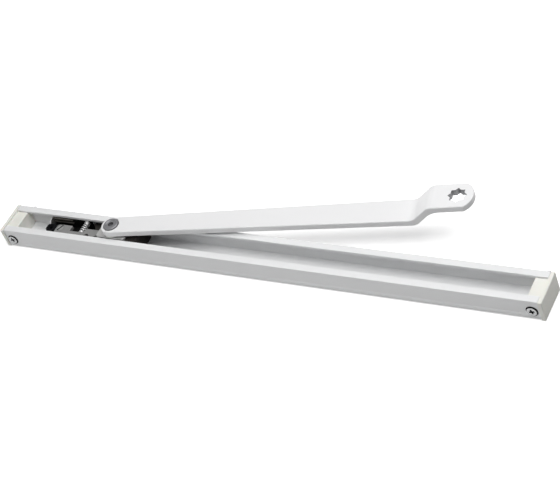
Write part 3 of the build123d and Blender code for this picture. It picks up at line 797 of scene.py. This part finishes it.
def run_geometry_tree(
    name: str, tree: Tree, values: dict[str, Any], start: bpy.types.Mesh | None = None
) -> Piece:
    """Runs a Geometry Nodes tree once and keeps its plain mesh.

    Args:
        name: the piece's name.
        tree: the tree.
        values: its inputs, by name.
        start: the mesh that the tree starts from, if it takes one.

    Returns:
        The piece, with no modifier left.
    """
    piece = new_piece(name, start or bpy.data.meshes.new(name))
    modifier = piece.modifiers.new(name, "NODES")
    modifier.node_group = tree
    identifiers = {
        item.name: item.identifier
        for item in tree.interface.items_tree
        if item.item_type == "SOCKET" and item.in_out == "INPUT"
    }
    for label, value in values.items():
        modifier[identifiers[label]] = value
    bake_modifiers(piece)
    piece.data.name = name
    return piece


# ---- Geometry Nodes trees ------------------------------------------------------------------------
CORE_SIDES = 32
ROUND_SIDES = 64
WIRE_SIDES = 10
RIDGE_SIDES = 4
# How thick a screw's blunt tip is, as a share of its core.
POINT_SHARE = 0.25
QUARTER_TURN = math.pi / 2


def new_tree(
    name: str, inputs: dict[Socket, tuple[str, ...]]
) -> tuple[Graph, bpy.types.NodeOutputs]:
    """Makes an empty Geometry Nodes tree that takes a material and gives geometry.

    Args:
        name: the tree's name.
        inputs: its other inputs' names by their kind, geometry first.

    Returns:
        The graph, and what the tree is given.
    """
    taken = {**inputs, Socket.MATERIAL: ("Material",)}
    return new_group(name, "GeometryNodeTree", taken, {Socket.GEOMETRY: ("Geometry",)})


def finish_tree(graph: Graph, geometry: Value, material: Output) -> Tree:
    """Ends a tree in real geometry with its material.

    Args:
        graph: the tree's graph.
        geometry: what the tree made.
        material: its material.

    Returns:
        The tree.
    """
    real = graph.add("GeometryNodeRealizeInstances", {"Geometry": geometry})
    dressed = graph.add("GeometryNodeSetMaterial", {"Geometry": real, "Material": material})
    graph.add("NodeGroupOutput", {"Geometry": dressed})
    return graph.tree


def move(graph: Graph, geometry: Value, place: Value, turn: Value | Triple = (0.0, 0.0, 0.0)) -> Node:
    """Turns geometry about the origin and moves it.

    Args:
        graph: the tree's graph.
        geometry: what is moved.
        place: how far.
        turn: by which angles.

    Returns:
        The moved geometry.
    """
    inputs = {"Geometry": geometry, "Translation": place, "Rotation": turn}
    return graph.add("GeometryNodeTransform", inputs)


def round_along_y(graph: Graph, radius: Value, depth: Value, middle: Value) -> Node:
    """A cylinder along Y.

    Args:
        graph: the tree's graph.
        radius: its radius.
        depth: its length.
        middle: where its middle lies on Y.

    Returns:
        The cylinder's mesh.
    """
    cylinder = graph.add(
        "GeometryNodeMeshCylinder", {"Vertices": ROUND_SIDES, "Radius": radius, "Depth": depth}
    )
    return move(graph, cylinder, graph.vector(y=middle), (QUARTER_TURN, 0.0, 0.0))


def pair_along_x(graph: Graph, geometry: Value, spacing: Output, height: Output) -> Node:
    """Two copies on X, one to each side of the middle.

    Args:
        graph: the tree's graph.
        geometry: what is copied.
        spacing: how far apart the copies are.
        height: where they lie on Z.

    Returns:
        The copies, as instances.
    """
    first = graph.vector(x=graph.times(spacing, -0.5), z=height)
    places = graph.add(
        "GeometryNodeMeshLine",
        {"Count": 2, "Start Location": first, "Offset": graph.vector(x=spacing)},
    )
    return graph.add("GeometryNodeInstanceOnPoints", {"Points": places, "Instance": geometry})


def cut_away(graph: Graph, body: Value, cutters: Value | list[Node]) -> Node:
    """Cuts shapes out of a body.

    Args:
        graph: the tree's graph.
        body: what is cut.
        cutters: what cuts it.

    Returns:
        What is left.
    """
    return graph.add(
        "GeometryNodeMeshBoolean",
        {"Mesh 1": body, "Mesh 2": cutters},
        operation="DIFFERENCE",
        solver="EXACT",
    )


def extrusion_tree() -> Tree:
    """An aluminium section drawn out to a length, with stepped screw holes through its side.

    The section comes in as a closed outline, with its width along X and its height along Y.

    Returns:
        The tree.
    """
    graph, given = new_tree(
        "drawn_section",
        {
            Socket.GEOMETRY: ("Outline",),
            Socket.INTEGER: ("Corner Steps",),
            Socket.FLOAT: (
                "Length",
                "Corner Radius",
                "Hole Spacing",
                "Recess Radius",
                "Recess Middle",
                "Recess Depth",
                "Hole Radius",
                "Hole Depth",
                "Screw Height",
            ),
        },
    )
    outline = graph.add("GeometryNodeMeshToCurve", {"Mesh": given["Outline"]})
    rounded = graph.add(
        "GeometryNodeFilletCurve",
        {
            "Curve": outline,
            "Radius": given["Corner Radius"],
            "Limit Radius": True,
            "Count": given["Corner Steps"],
        },
        mode="POLY",
    )
    section = graph.add("GeometryNodeFillCurve", {"Curve": rounded}, mode="NGONS")
    drawn = graph.add(
        "GeometryNodeExtrudeMesh",
        {"Mesh": section, "Offset": graph.vector(z=given["Length"]), "Individual": False},
        mode="FACES",
    )
    near_end = graph.add("GeometryNodeFlipFaces", {"Mesh": section})
    closed = graph.add("GeometryNodeJoinGeometry", {"Geometry": [drawn, near_end]})
    welded = graph.add(
        "GeometryNodeMergeByDistance", {"Geometry": closed, "Distance": MERGE_DISTANCE}
    )
    start = graph.vector(x=graph.times(given["Length"], -0.5))
    laid = move(graph, welded, start, (QUARTER_TURN, 0.0, QUARTER_TURN))
    cutters = [
        round_along_y(graph, given["Recess Radius"], given["Recess Depth"], given["Recess Middle"]),
        round_along_y(graph, given["Hole Radius"], given["Hole Depth"], 0.0),
    ]
    stepped = graph.add("GeometryNodeJoinGeometry", {"Geometry": cutters})
    placed = pair_along_x(graph, stepped, given["Hole Spacing"], given["Screw Height"])
    real = graph.add("GeometryNodeRealizeInstances", {"Geometry": placed})
    return finish_tree(graph, cut_away(graph, laid, real), given["Material"])


def row_of_points(graph: Graph, steps: Value) -> tuple[Node, Node]:
    """A row of joined points, to be bent to a path.

    Args:
        graph: the tree's graph.
        steps: how many points there are.

    Returns:
        The row, and each point's share of the way along it.
    """
    row = graph.add("GeometryNodeMeshLine", {"Count": steps, "Offset": (0.0, 1.0, 0.0)})
    return row, graph.over(graph.add("GeometryNodeInputIndex"), graph.minus(steps, 1.0))


def wind(graph: Graph, row: Node, angle: Value, radius: Value, rise: Value) -> Node:
    """Bends a row of points to a curve that winds about Y.

    Args:
        graph: the tree's graph.
        row: the row.
        angle: each point's angle in radians.
        radius: each point's radius.
        rise: each point's place on Y.

    Returns:
        The curve.
    """
    cosine = graph.add("ShaderNodeMath", {0: angle}, operation="COSINE")
    sine = graph.add("ShaderNodeMath", {0: angle}, operation="SINE")
    spot = graph.vector(graph.times(cosine, radius), rise, graph.times(sine, radius))
    wound = graph.add("GeometryNodeSetPosition", {"Geometry": row, "Position": spot})
    return graph.add("GeometryNodeMeshToCurve", {"Mesh": wound})


def sweep(graph: Graph, path: Node, sides: int, radius: Value) -> Node:
    """Sweeps a ring along a curve, closed at both ends.

    Args:
        graph: the tree's graph.
        path: the curve.
        sides: how many sides the ring has.
        radius: the ring's radius.

    Returns:
        The mesh.
    """
    ring = graph.add("GeometryNodeCurvePrimitiveCircle", {"Resolution": sides, "Radius": radius})
    inputs = {"Curve": path, "Profile Curve": ring, "Fill Caps": True}
    return graph.add("GeometryNodeCurveToMesh", inputs)


def coil_tree() -> Tree:
    """A compression spring about Y, with a closed turn at each end.

    Returns:
        The tree.
    """
    graph, given = new_tree(
        "compression_coil",
        {
            Socket.FLOAT: ("Coil Radius", "Wire Radius", "Turns", "Length"),
            Socket.INTEGER: ("Steps",),
            Socket.VECTOR: ("Seat",),
        },
    )
    row, share = row_of_points(graph, given["Steps"])
    turn = graph.times(share, given["Turns"])
    wire = graph.times(given["Wire Radius"], 2.0)
    open_length = graph.minus(given["Length"], wire, wire, wire)
    last_turn = graph.minus(given["Turns"], 1.0)
    rise = graph.plus(
        graph.ramp(turn, 0.0, 1.0, 0.0, wire),
        graph.ramp(turn, 1.0, last_turn, 0.0, open_length),
        graph.ramp(turn, last_turn, given["Turns"], 0.0, wire),
        given["Wire Radius"],
    )
    path = wind(graph, row, graph.times(turn, math.tau), given["Coil Radius"], rise)
    spring = sweep(graph, path, WIRE_SIDES, given["Wire Radius"])
    return finish_tree(graph, move(graph, spring, given["Seat"]), given["Material"])


def thread_tree() -> Tree:
    """Wood-screw threads along +Y with blunt tapered points, as a pair on X.

    Returns:
        The tree.
    """
    graph, given = new_tree(
        "screw_threads",
        {
            Socket.FLOAT: (
                "Core Radius",
                "Crest Radius",
                "Pitch",
                "Length",
                "Point Length",
                "Spacing",
                "Axis Height",
            ),
            Socket.INTEGER: ("Steps Per Turn",),
        },
    )
    turns = graph.over(given["Length"], given["Pitch"])
    row, share = row_of_points(graph, graph.times(turns, given["Steps Per Turn"]))
    rise = graph.times(share, given["Length"])
    tapers_from = graph.minus(1.0, graph.over(given["Point Length"], given["Length"]))
    skin = graph.times(given["Core Radius"], graph.ramp(share, tapers_from, 1.0, 1.0, POINT_SHARE))
    path = wind(graph, row, graph.times(share, turns, math.tau), skin, rise)
    ridge = sweep(graph, path, RIDGE_SIDES, graph.minus(given["Crest Radius"], given["Core Radius"]))
    along = graph.add("GeometryNodeSplineParameter").outputs["Factor"]
    waisted = graph.add(
        "GeometryNodeSetCurveRadius",
        {
            "Curve": wind(graph, row, 0.0, 0.0, rise),
            "Radius": graph.ramp(along, tapers_from, 1.0, 1.0, POINT_SHARE),
        },
    )
    core = sweep(graph, waisted, CORE_SIDES, given["Core Radius"])
    one = graph.add("GeometryNodeJoinGeometry", {"Geometry": [ridge, core]})
    placed = pair_along_x(graph, one, given["Spacing"], given["Axis Height"])
    return finish_tree(graph, placed, given["Material"])


def cross_head_tree() -> Tree:
    """Screw heads with a cross recess, each on a plain shank along Y, as a pair on X.

    Returns:
        The tree.
    """
    graph, given = new_tree(
        "cross_heads",
        {
            Socket.FLOAT: (
                "Head Radius",
                "Head Depth",
                "Face",
                "Shank Radius",
                "Cross Span",
                "Cross Width",
                "Cross Depth",
                "Cross Turn",
                "Spacing",
                "Axis Height",
            ),
        },
    )
    head_middle = graph.plus(given["Face"], graph.times(given["Head Depth"], 0.5))
    head = round_along_y(graph, given["Head Radius"], given["Head Depth"], head_middle)
    cut_depth = graph.times(given["Cross Depth"], 2.0)
    face = graph.vector(y=given["Face"])
    turn = graph.vector(y=given["Cross Turn"])
    slots = []
    for wide, high in (("Cross Span", "Cross Width"), ("Cross Width", "Cross Span")):
        extent = graph.vector(given[wide], cut_depth, given[high])
        slots.append(move(graph, graph.add("GeometryNodeMeshCube", {"Size": extent}), face, turn))
    cut = cut_away(graph, head, slots)
    shank_end = graph.times(head_middle, 0.5)
    shank_length = graph.times(head_middle, -1.0)
    shank = round_along_y(graph, given["Shank Radius"], shank_length, shank_end)
    one = graph.add("GeometryNodeJoinGeometry", {"Geometry": [cut, shank]})
    placed = pair_along_x(graph, one, given["Spacing"], given["Axis Height"])
    return finish_tree(graph, placed, given["Material"])


# ---- Pieces --------------------------------------------------------------------------------------
@dataclass
class SubAssembly:
    """A group of pieces; each keeps the body that its solid rides on."""

    built: list[Piece] = field(default_factory=list)

    def mount(self, piece: Piece, surface: Surface, *nodes: str) -> Piece:
        """Gives a finished piece its body and the solids that it stands for.

        Args:
            piece: the finished piece.
            surface: its finish; not used.
            *nodes: the solids; the first one's body carries the piece.

        Returns:
            The piece.
        """
        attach(piece, frame["nodes"][nodes[0]]["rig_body"])
        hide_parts(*nodes)
        self.built.append(piece)
        return piece

    def dress(self, node: str, name: str, surface: Surface, edge: Round = Round.PLAIN) -> Piece:
        """Dresses one solid: softened edges, even shading and its finish.

        Args:
            node: the solid.
            name: the dressed piece's name.
            surface: its finish.
            edge: how its edges are rounded.

        Returns:
            The piece.
        """
        mesh = solid_copy(node)
        soften_edges(mesh, edge)
        return self.mount(finished_piece(name, mesh, surface), surface, node)

    def build(self) -> list[Piece]:
        """Builds the pieces; each sub-assembly says how."""
        raise NotImplementedError


@dataclass
class SlideRail(SubAssembly):
    """The extruded rail with its end caps and fixing screws; sizes in millimetres."""

    length: float = 440.0
    end_gap: float = 0.25
    width: float = 27.5
    height: float = 16.5
    side_wall: float = 2.75
    floor_wall: float = 2.0
    lip: float = 2.5
    slot: float = 16.4
    bead_height: float = 4.3
    bead_proud: float = 0.5
    bead_steps: int = 12
    corner: float = 0.45
    corner_steps: int = 4
    screw_inset: float = 5.5
    screw_drop: float = 1.0
    recess_diameter: float = 8.8
    head_diameter: float = 7.2
    head_proud: float = 0.95
    cross_span: float = 4.2
    cross_width: float = 1.4
    cross_depth: float = 1.5
    cross_turn: float = -16.0
    hole_diameter: float = 4.6
    thread_core: float = 3.0
    thread_crest: float = 4.2
    thread_pitch: float = 1.5
    thread_point: float = 2.6
    thread_steps: int = 28

    @property
    def screw_spacing(self) -> float:
        """How far apart the two screws' axes are."""
        return self.length - 2 * self.screw_inset

    def from_axis(self, place: Vector) -> float:
        """Measures how far a place is from the nearer screw's axis.

        Args:
            place: the place, in metres.

        Returns:
            The distance in millimetres.
        """
        across = abs(place.x) / MM - self.screw_spacing / 2
        return math.hypot(across, place.z / MM + self.screw_drop)

    def bead(self) -> list[tuple[float, float]]:
        """Draws the bead along the foot of the front face, as an arc from its top to the foot.

        Returns:
            The arc's points, across and up, without its last one.
        """
        half = self.bead_height / 2
        radius = (half**2 + self.bead_proud**2) / (2 * self.bead_proud)
        x, y = Vector((radius - self.width - self.bead_proud, half - self.height / 2))
        reach = math.asin(half / radius)
        turns = [reach * (1 - 2 * step / self.bead_steps) for step in range(self.bead_steps)]
        return [(x - radius * math.cos(turn), y + radius * math.sin(turn)) for turn in turns]

    def outline(self) -> bpy.types.Mesh:
        """Draws the section as a closed outline, across on X and up on Y.

        Returns:
            The outline's mesh, in metres.
        """
        top, front = self.height / 2, -self.width
        floor, lip = self.floor_wall - top, top - self.lip
        inner_back, inner_front = -self.side_wall, front + self.side_wall
        slot_back, slot_front = (front + self.slot) / 2, (front - self.slot) / 2
        points = [
            (0.0, -top),
            (0.0, top),
            (slot_back, top),
            (slot_back, lip),
            (inner_back, lip),
            (inner_back, floor),
            (inner_front, floor),
            (inner_front, lip),
            (slot_front, lip),
            (slot_front, top),
            (front, top),
            *self.bead(),
            (front, -top),
        ]
        mesh = bpy.data.meshes.new("rail_section")
        corners = [(x * MM, y * MM, 0.0) for x, y in points]
        edges = [(here, (here + 1) % len(points)) for here in range(len(points))]
        mesh.from_pydata(corners, edges, [])
        return mesh

    def build_profile(self) -> Piece:
        """Draws the section out and pierces it for the screws.

        Returns:
            The piece.
        """
        surface = Surface.RAIL_POWDER
        cut = self.side_wall + 2 * self.bead_proud
        piece = run_geometry_tree(
            "coated_rail",
            extrusion_tree(),
            {
                "Length": (self.length - 2 * self.end_gap) * MM,
                "Corner Radius": self.corner * MM,
                "Corner Steps": self.corner_steps,
                "Hole Spacing": self.screw_spacing * MM,
                "Recess Radius": self.recess_diameter / 2 * MM,
                "Recess Middle": (self.side_wall - self.width - cut / 2) * MM,
                "Recess Depth": cut * MM,
                "Hole Radius": self.hole_diameter / 2 * MM,
                "Hole Depth": 4 * self.side_wall * MM,
                "Screw Height": -self.screw_drop * MM,
                "Material": surface.value.material(),
            },
            self.outline(),
        )
        even_normals(piece)
        reach = self.recess_diameter / 2 + self.bead_proud
        # The counterbores' walls get painted shade.
        paint_faces(
            piece,
            Surface.RECESS_SHADE,
            lambda face: self.from_axis(face.center) < reach and abs(face.normal.y) < LEVEL_TILT,
        )
        return self.mount(piece, surface, "rail_profile")

    def build_screws(self) -> Piece:
        """Makes the cross heads on their shanks, winds real threads behind them, and paints shade
        into the crosses and onto the heads' flanks.

        Returns:
            The piece.
        """
        surface = Surface.SATIN_SCREW
        face = -(self.width + self.head_proud)
        spread = {
            "Spacing": self.screw_spacing * MM,
            "Axis Height": -self.screw_drop * MM,
            "Material": surface.value.material(),
        }
        heads = run_geometry_tree(
            "heads",
            cross_head_tree(),
            {
                "Head Radius": self.head_diameter / 2 * MM,
                "Head Depth": (self.side_wall + self.head_proud) * MM,
                "Face": face * MM,
                "Shank Radius": self.thread_core / 2 * MM,
                "Cross Span": self.cross_span * MM,
                "Cross Width": self.cross_width * MM,
                "Cross Depth": self.cross_depth * MM,
                "Cross Turn": math.radians(self.cross_turn),
                **spread,
            },
        )
        threads = run_geometry_tree(
            "threads",
            thread_tree(),
            {
                "Core Radius": self.thread_core / 2 * MM,
                "Crest Radius": self.thread_crest / 2 * MM,
                "Pitch": self.thread_pitch * MM,
                "Length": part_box("fixing_screws")[1].y,
                "Point Length": self.thread_point * MM,
                "Steps Per Turn": self.thread_steps,
                **spread,
            },
        )
        mesh = bmesh.new()
        mesh.from_mesh(heads.data)
        soften_edges(mesh, Round.TURNED)
        mesh.from_mesh(threads.data)
        for part in (heads, threads):
            bpy.data.objects.remove(part)
        piece = finished_piece("plated_fixing_screws", mesh, surface)
        rim = self.head_diameter / 2
        cross = self.cross_span / 2

        def sunk(polygon: bpy.types.MeshPolygon) -> bool:
            """Tells whether a face is in the cross or on the head's flank.

            Args:
                polygon: the face.

            Returns:
                Whether it is.
            """
            out = self.from_axis(polygon.center)
            behind = polygon.center.y / MM - face
            in_cross = out < cross + FACE_SLACK and FACE_SLACK < behind < self.side_wall
            on_flank = out > rim - 2 * FACE_SLACK and behind > 2 * FACE_SLACK
            return in_cross or on_flank

        # The crosses and the heads' flanks get painted shade.
        paint_faces(piece, Surface.RECESS_SHADE, sunk)
        return self.mount(piece, surface, "fixing_screws")

    def build(self) -> list[Piece]:
        """Builds the rail, its caps and its screws.

        Returns:
            The pieces.
        """
        self.build_profile()
        self.dress("end_cap_left", "moulded_cap_left", Surface.CAP_PLASTIC, Round.MOULDED)
        self.dress("end_cap_right", "moulded_cap_right", Surface.CAP_PLASTIC, Round.MOULDED)
        self.build_screws()
        return self.built


@dataclass
class Slider(SubAssembly):
    """The zinc block that runs in the rail, its shoes and its catch pin."""

    def build(self) -> list[Piece]:
        """Dresses the slider's pieces.

        Returns:
            The pieces.
        """
        self.dress("slider_block", "cast_slider", Surface.CAST_ZINC)
        # The catch pin is painted near black as shade.
        self.dress("slider_catch_pin", "catch_pin", Surface.SHADED_PIN, Round.FINE)
        self.dress("slider_shoe_long", "long_shoe", Surface.SHOE_MOULDING)
        self.dress("slider_shoe_wedge", "wedge_shoe", Surface.SHOE_MOULDING)
        return self.built


@dataclass
class ArmPivot(SubAssembly):
    """The bolt that the arm turns on, with its washer and bush."""

    def build(self) -> list[Piece]:
        """Dresses the pivot's pieces.

        Returns:
            The pieces.
        """
        self.dress("pivot_bolt", "turned_pivot_bolt", Surface.DARK_NICKEL, Round.TURNED)
        self.dress("arm_washer", "thrust_washer", Surface.NATURAL_ACETAL, Round.THIN)
        self.dress("arm_bush", "pivot_bush", Surface.NATURAL_ACETAL, Round.THIN)
        return self.built


@dataclass
class LeverArm(SubAssembly):
    """The cranked arm, coated all over but for the walls of its spindle socket."""

    socket_reach: float = 7.3

    def build(self) -> list[Piece]:
        """Dresses the arm and bares its socket.

        Returns:
            The pieces.
        """
        piece = self.dress("lever_arm", "coated_arm", Surface.ARM_POWDER, Round.COATED)
        centre = Vector(MOUNTS["closer_spindle_socket"]["pos_m"])
        reach = self.socket_reach * MM

        def on_wall(face: bpy.types.MeshPolygon) -> bool:
            """Tells whether a face is one of the socket's walls."""
            return (face.center - centre).xy.length < reach and abs(face.normal.z) < LEVEL_TILT

        paint_faces(piece, Surface.BROACHED_STEEL, on_wall)
        return self.built


@dataclass
class HoldOpenUnit(SubAssembly):
    """The sprung catch that holds the slider, in its clamped housing; sizes in millimetres."""

    coil_diameter: float = 4.7
    wire_diameter: float = 0.7
    turns: float = 6.5
    coil_steps: int = 240
    back_wall: float = 2.2
    rib_depth: float = 1.0
    rib_reach: float = 19.5
    screw_slot_depth: float = 0.6

    def build_pivot_screw(self) -> Piece:
        """Dresses the lever's slotted screw, with painted shade in its slot.

        Returns:
            The piece.
        """
        low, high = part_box("catch_pivot_screw")
        rim = (high.x - low.x) / 2 / MM
        middle = (low + high) / 2
        piece = self.dress(
            "catch_pivot_screw", "slotted_pivot_screw", Surface.SLOTTED_ZINC, Round.FINE
        )

        def in_slot(face: bpy.types.MeshPolygon) -> bool:
            """Tells whether a face is a wall or the floor of the slot.

            Args:
                face: the face.

            Returns:
                Whether it is.
            """
            down = (high.z - face.center.z) / MM
            out = (face.center - middle).xy.length / MM
            sunk = FACE_SLACK < down < self.screw_slot_depth + FACE_SLACK
            return sunk and out < rim - 2 * FACE_SLACK

        # The slot gets painted shade.
        paint_faces(piece, Surface.RECESS_SHADE, in_slot)
        return piece

    def build_housing(self) -> Piece:
        """Dresses the housing, with painted highlights on its two ribs.

        Returns:
            The piece.
        """
        low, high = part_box("hold_open_housing")
        wall = high.y / MM - self.back_wall
        piece = self.dress(
            "hold_open_housing", "moulded_housing", Surface.BLACK_MOULDING, Round.CAST
        )

        def on_rib(face: bpy.types.MeshPolygon) -> bool:
            """Tells whether a face is on a rib's front or top.

            Args:
                face: the face.

            Returns:
                Whether it is.
            """
            out = wall - face.center.y / MM
            near = face.center.x < low.x + self.rib_reach * MM and face.center.z > 0.0
            return near and FACE_SLACK < out < self.rib_depth + FACE_SLACK

        # The ribs' fronts and tops get painted highlights.
        paint_faces(piece, Surface.RIB_HIGHLIGHT_MOULDING, on_rib)
        return piece

    def build_spring(self) -> Piece:
        """Winds the catch's spring between the lever and its seat.

        Returns:
            The piece.
        """
        surface = Surface.DRAWN_WIRE
        low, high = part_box("catch_spring")
        middle = (low + high) / 2
        length = high.y - low.y
        piece = run_geometry_tree(
            "wound_spring",
            coil_tree(),
            {
                "Coil Radius": (self.coil_diameter - self.wire_diameter) / 2 * MM,
                "Wire Radius": self.wire_diameter / 2 * MM,
                "Turns": self.turns,
                "Length": length,
                "Steps": self.coil_steps,
                "Seat": (middle.x, low.y, middle.z),
                "Material": surface.value.material(),
            },
        )
        for face in piece.data.polygons:
            face.use_smooth = True
        self.mount(piece, surface, "catch_spring")
        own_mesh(piece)
        return piece

    def build(self) -> list[Piece]:
        """Dresses the unit and winds its spring.

        Returns:
            The pieces.
        """
        self.dress("hold_open_base", "plated_base", Surface.PLATED_STEEL, Round.TURNED)
        self.build_housing()
        self.dress("clamp_block", "oxide_clamp_block", Surface.BLACK_OXIDE)
        self.dress("clamp_screw", "oxide_clamp_screw", Surface.BLACK_OXIDE, Round.THIN)
        # The catch lever takes the darker zinc as painted shade.
        self.dress("catch_lever", "cast_catch_lever", Surface.SHADED_ZINC, Round.CAST)
        self.build_pivot_screw()
        self.dress("spring_seat", "plated_spring_seat", Surface.PLATED_STEEL, Round.FINE)
        self.build_spring()
        return self.built


# ---- Studio --------------------------------------------------------------------------------------
WHITE = (1.0, 1.0, 1.0, 1.0)


def looked_at(graph: Graph) -> Node:
    """Tells rays from the camera, also by gloss or through a clear body, from plain light.

    Args:
        graph: the graph of a material or a world.

    Returns:
        1 for such a ray, 0 for others.
    """
    path = graph.add("ShaderNodeLightPath").outputs
    rays = (path[f"Is {kind} Ray"] for kind in ("Camera", "Glossy", "Transmission"))
    return graph.chain("MAXIMUM", *rays)


@dataclass(frozen=True)
class Softbox:
    """An area lamp that points at the origin; width and height in metres, power in watts."""

    name: str
    place: Triple
    width: float
    height: float
    power: float

    def build(self) -> None:
        """Hangs the lamp."""
        lamp = bpy.data.lights.new(self.name, "AREA")
        lamp.shape = "RECTANGLE"
        lamp.size = self.width
        lamp.size_y = self.height
        lamp.energy = self.power
        holder = bpy.data.objects.new(self.name, lamp)
        SCENE.collection.objects.link(holder)
        holder.location = self.place
        towards = -Vector(self.place)
        holder.rotation_euler = towards.to_track_quat("-Z", "Y").to_euler()


@dataclass
class Studio:
    """A pale floor, soft light and the camera."""

    camera_place: Triple = (0.609894, -0.6607073, 0.7846901)
    camera_aim: Triple = (0.0156585, -0.0064854, 0.0)
    camera_roll: float = -23.6811
    lens: float = 107.16841
    sensor_width: float = 36.0
    near_clip: float = 0.01
    floor_drop: float = 8.6
    floor_size: float = 12.0
    floor_shade: float = 0.5
    floor_glow: float = 0.5
    glow_rise: tuple[float, float] = (0.6, 1.4)
    sky: float = 0.0
    softboxes: tuple[Softbox, ...] = (
        Softbox("overhead", (0.0, 0.0, 1.6), 1.6, 1.6, 7.6),
        Softbox("over_middle", (0.15, 0.1, 0.7), 0.9, 0.9, 5.75),
        Softbox("front_low", (-0.7, -1.6, 0.25), 1.0, 0.4, 7.1),
    )

    def build_camera(self) -> None:
        """Sets the camera, rolled as the object lies in the picture."""
        camera = bpy.data.cameras.new("camera")
        camera.lens = self.lens
        camera.sensor_width = self.sensor_width
        camera.clip_start = self.near_clip
        holder = bpy.data.objects.new("camera", camera)
        SCENE.collection.objects.link(holder)
        towards = Vector(self.camera_aim) - Vector(self.camera_place)
        level = towards.to_track_quat("-Z", "Y").to_matrix()
        roll = Matrix.Rotation(math.radians(self.camera_roll), 3, "Z")
        holder.matrix_world = Matrix.Translation(self.camera_place) @ (level @ roll).to_4x4()
        SCENE.camera = holder

    def build_floor(self) -> None:
        """Lays the floor: plain to the light, near white to the eye, and it keeps the shadow."""
        half = self.floor_size / 2
        around = ((-half, -half), (half, -half), (half, half), (-half, half))
        mesh = bpy.data.meshes.new("floor")
        mesh.from_pydata([(*corner, -self.floor_drop * MM) for corner in around], [], [(0, 1, 2, 3)])
        floor = new_piece("floor", mesh)
        material = bpy.data.materials.new("pale_floor")
        graph = blank_graph(material)
        shade = (*(self.floor_shade,) * 3, 1.0)
        plain = graph.add("ShaderNodeBsdfDiffuse", {"Color": shade})
        bright = graph.add("ShaderNodeBsdfDiffuse", {"Color": WHITE})
        away = graph.length(graph.add("ShaderNodeTexCoord").outputs["Object"])
        strength = graph.ramp(away, *self.glow_rise, self.floor_glow, 1.0)
        glow = graph.add("ShaderNodeEmission", {"Color": WHITE, "Strength": strength})
        seen = graph.add("ShaderNodeAddShader", {0: bright, 1: glow})
        mixed = graph.add("ShaderNodeMixShader", {0: looked_at(graph), 1: plain, 2: seen})
        graph.add("ShaderNodeOutputMaterial", {"Surface": mixed})
        mesh.materials.append(material)

    def build_sky(self) -> None:
        """Sets a sky that is dark to plain light, and white to the eye and to gloss."""
        world = bpy.data.worlds.new("studio")
        SCENE.world = world
        graph = blank_graph(world)
        strength = graph.ramp(looked_at(graph), 0.0, 1.0, self.sky, 1.0)
        light = graph.add("ShaderNodeBackground", {"Color": WHITE, "Strength": strength})
        graph.add("ShaderNodeOutputWorld", {"Surface": light})

    def build(self) -> None:
        """Sets up the studio."""
        SCENE.view_settings.view_transform = "Standard"
        self.build_floor()
        self.build_sky()
        for softbox in self.softboxes:
            softbox.build()
        self.build_camera()


def main() -> None:
    """Builds every sub-assembly in order and reports its pieces."""
    logging.basicConfig(level=logging.INFO, format="%(message)s", stream=sys.stdout)
    for assembly in (SlideRail(), Slider(), ArmPivot(), LeverArm(), HoldOpenUnit()):
        for piece in assembly.build():
            LOG.info("%s: %d faces", piece.name, len(piece.data.polygons))
    Studio().build()


if __name__ == "__main__":
    main()
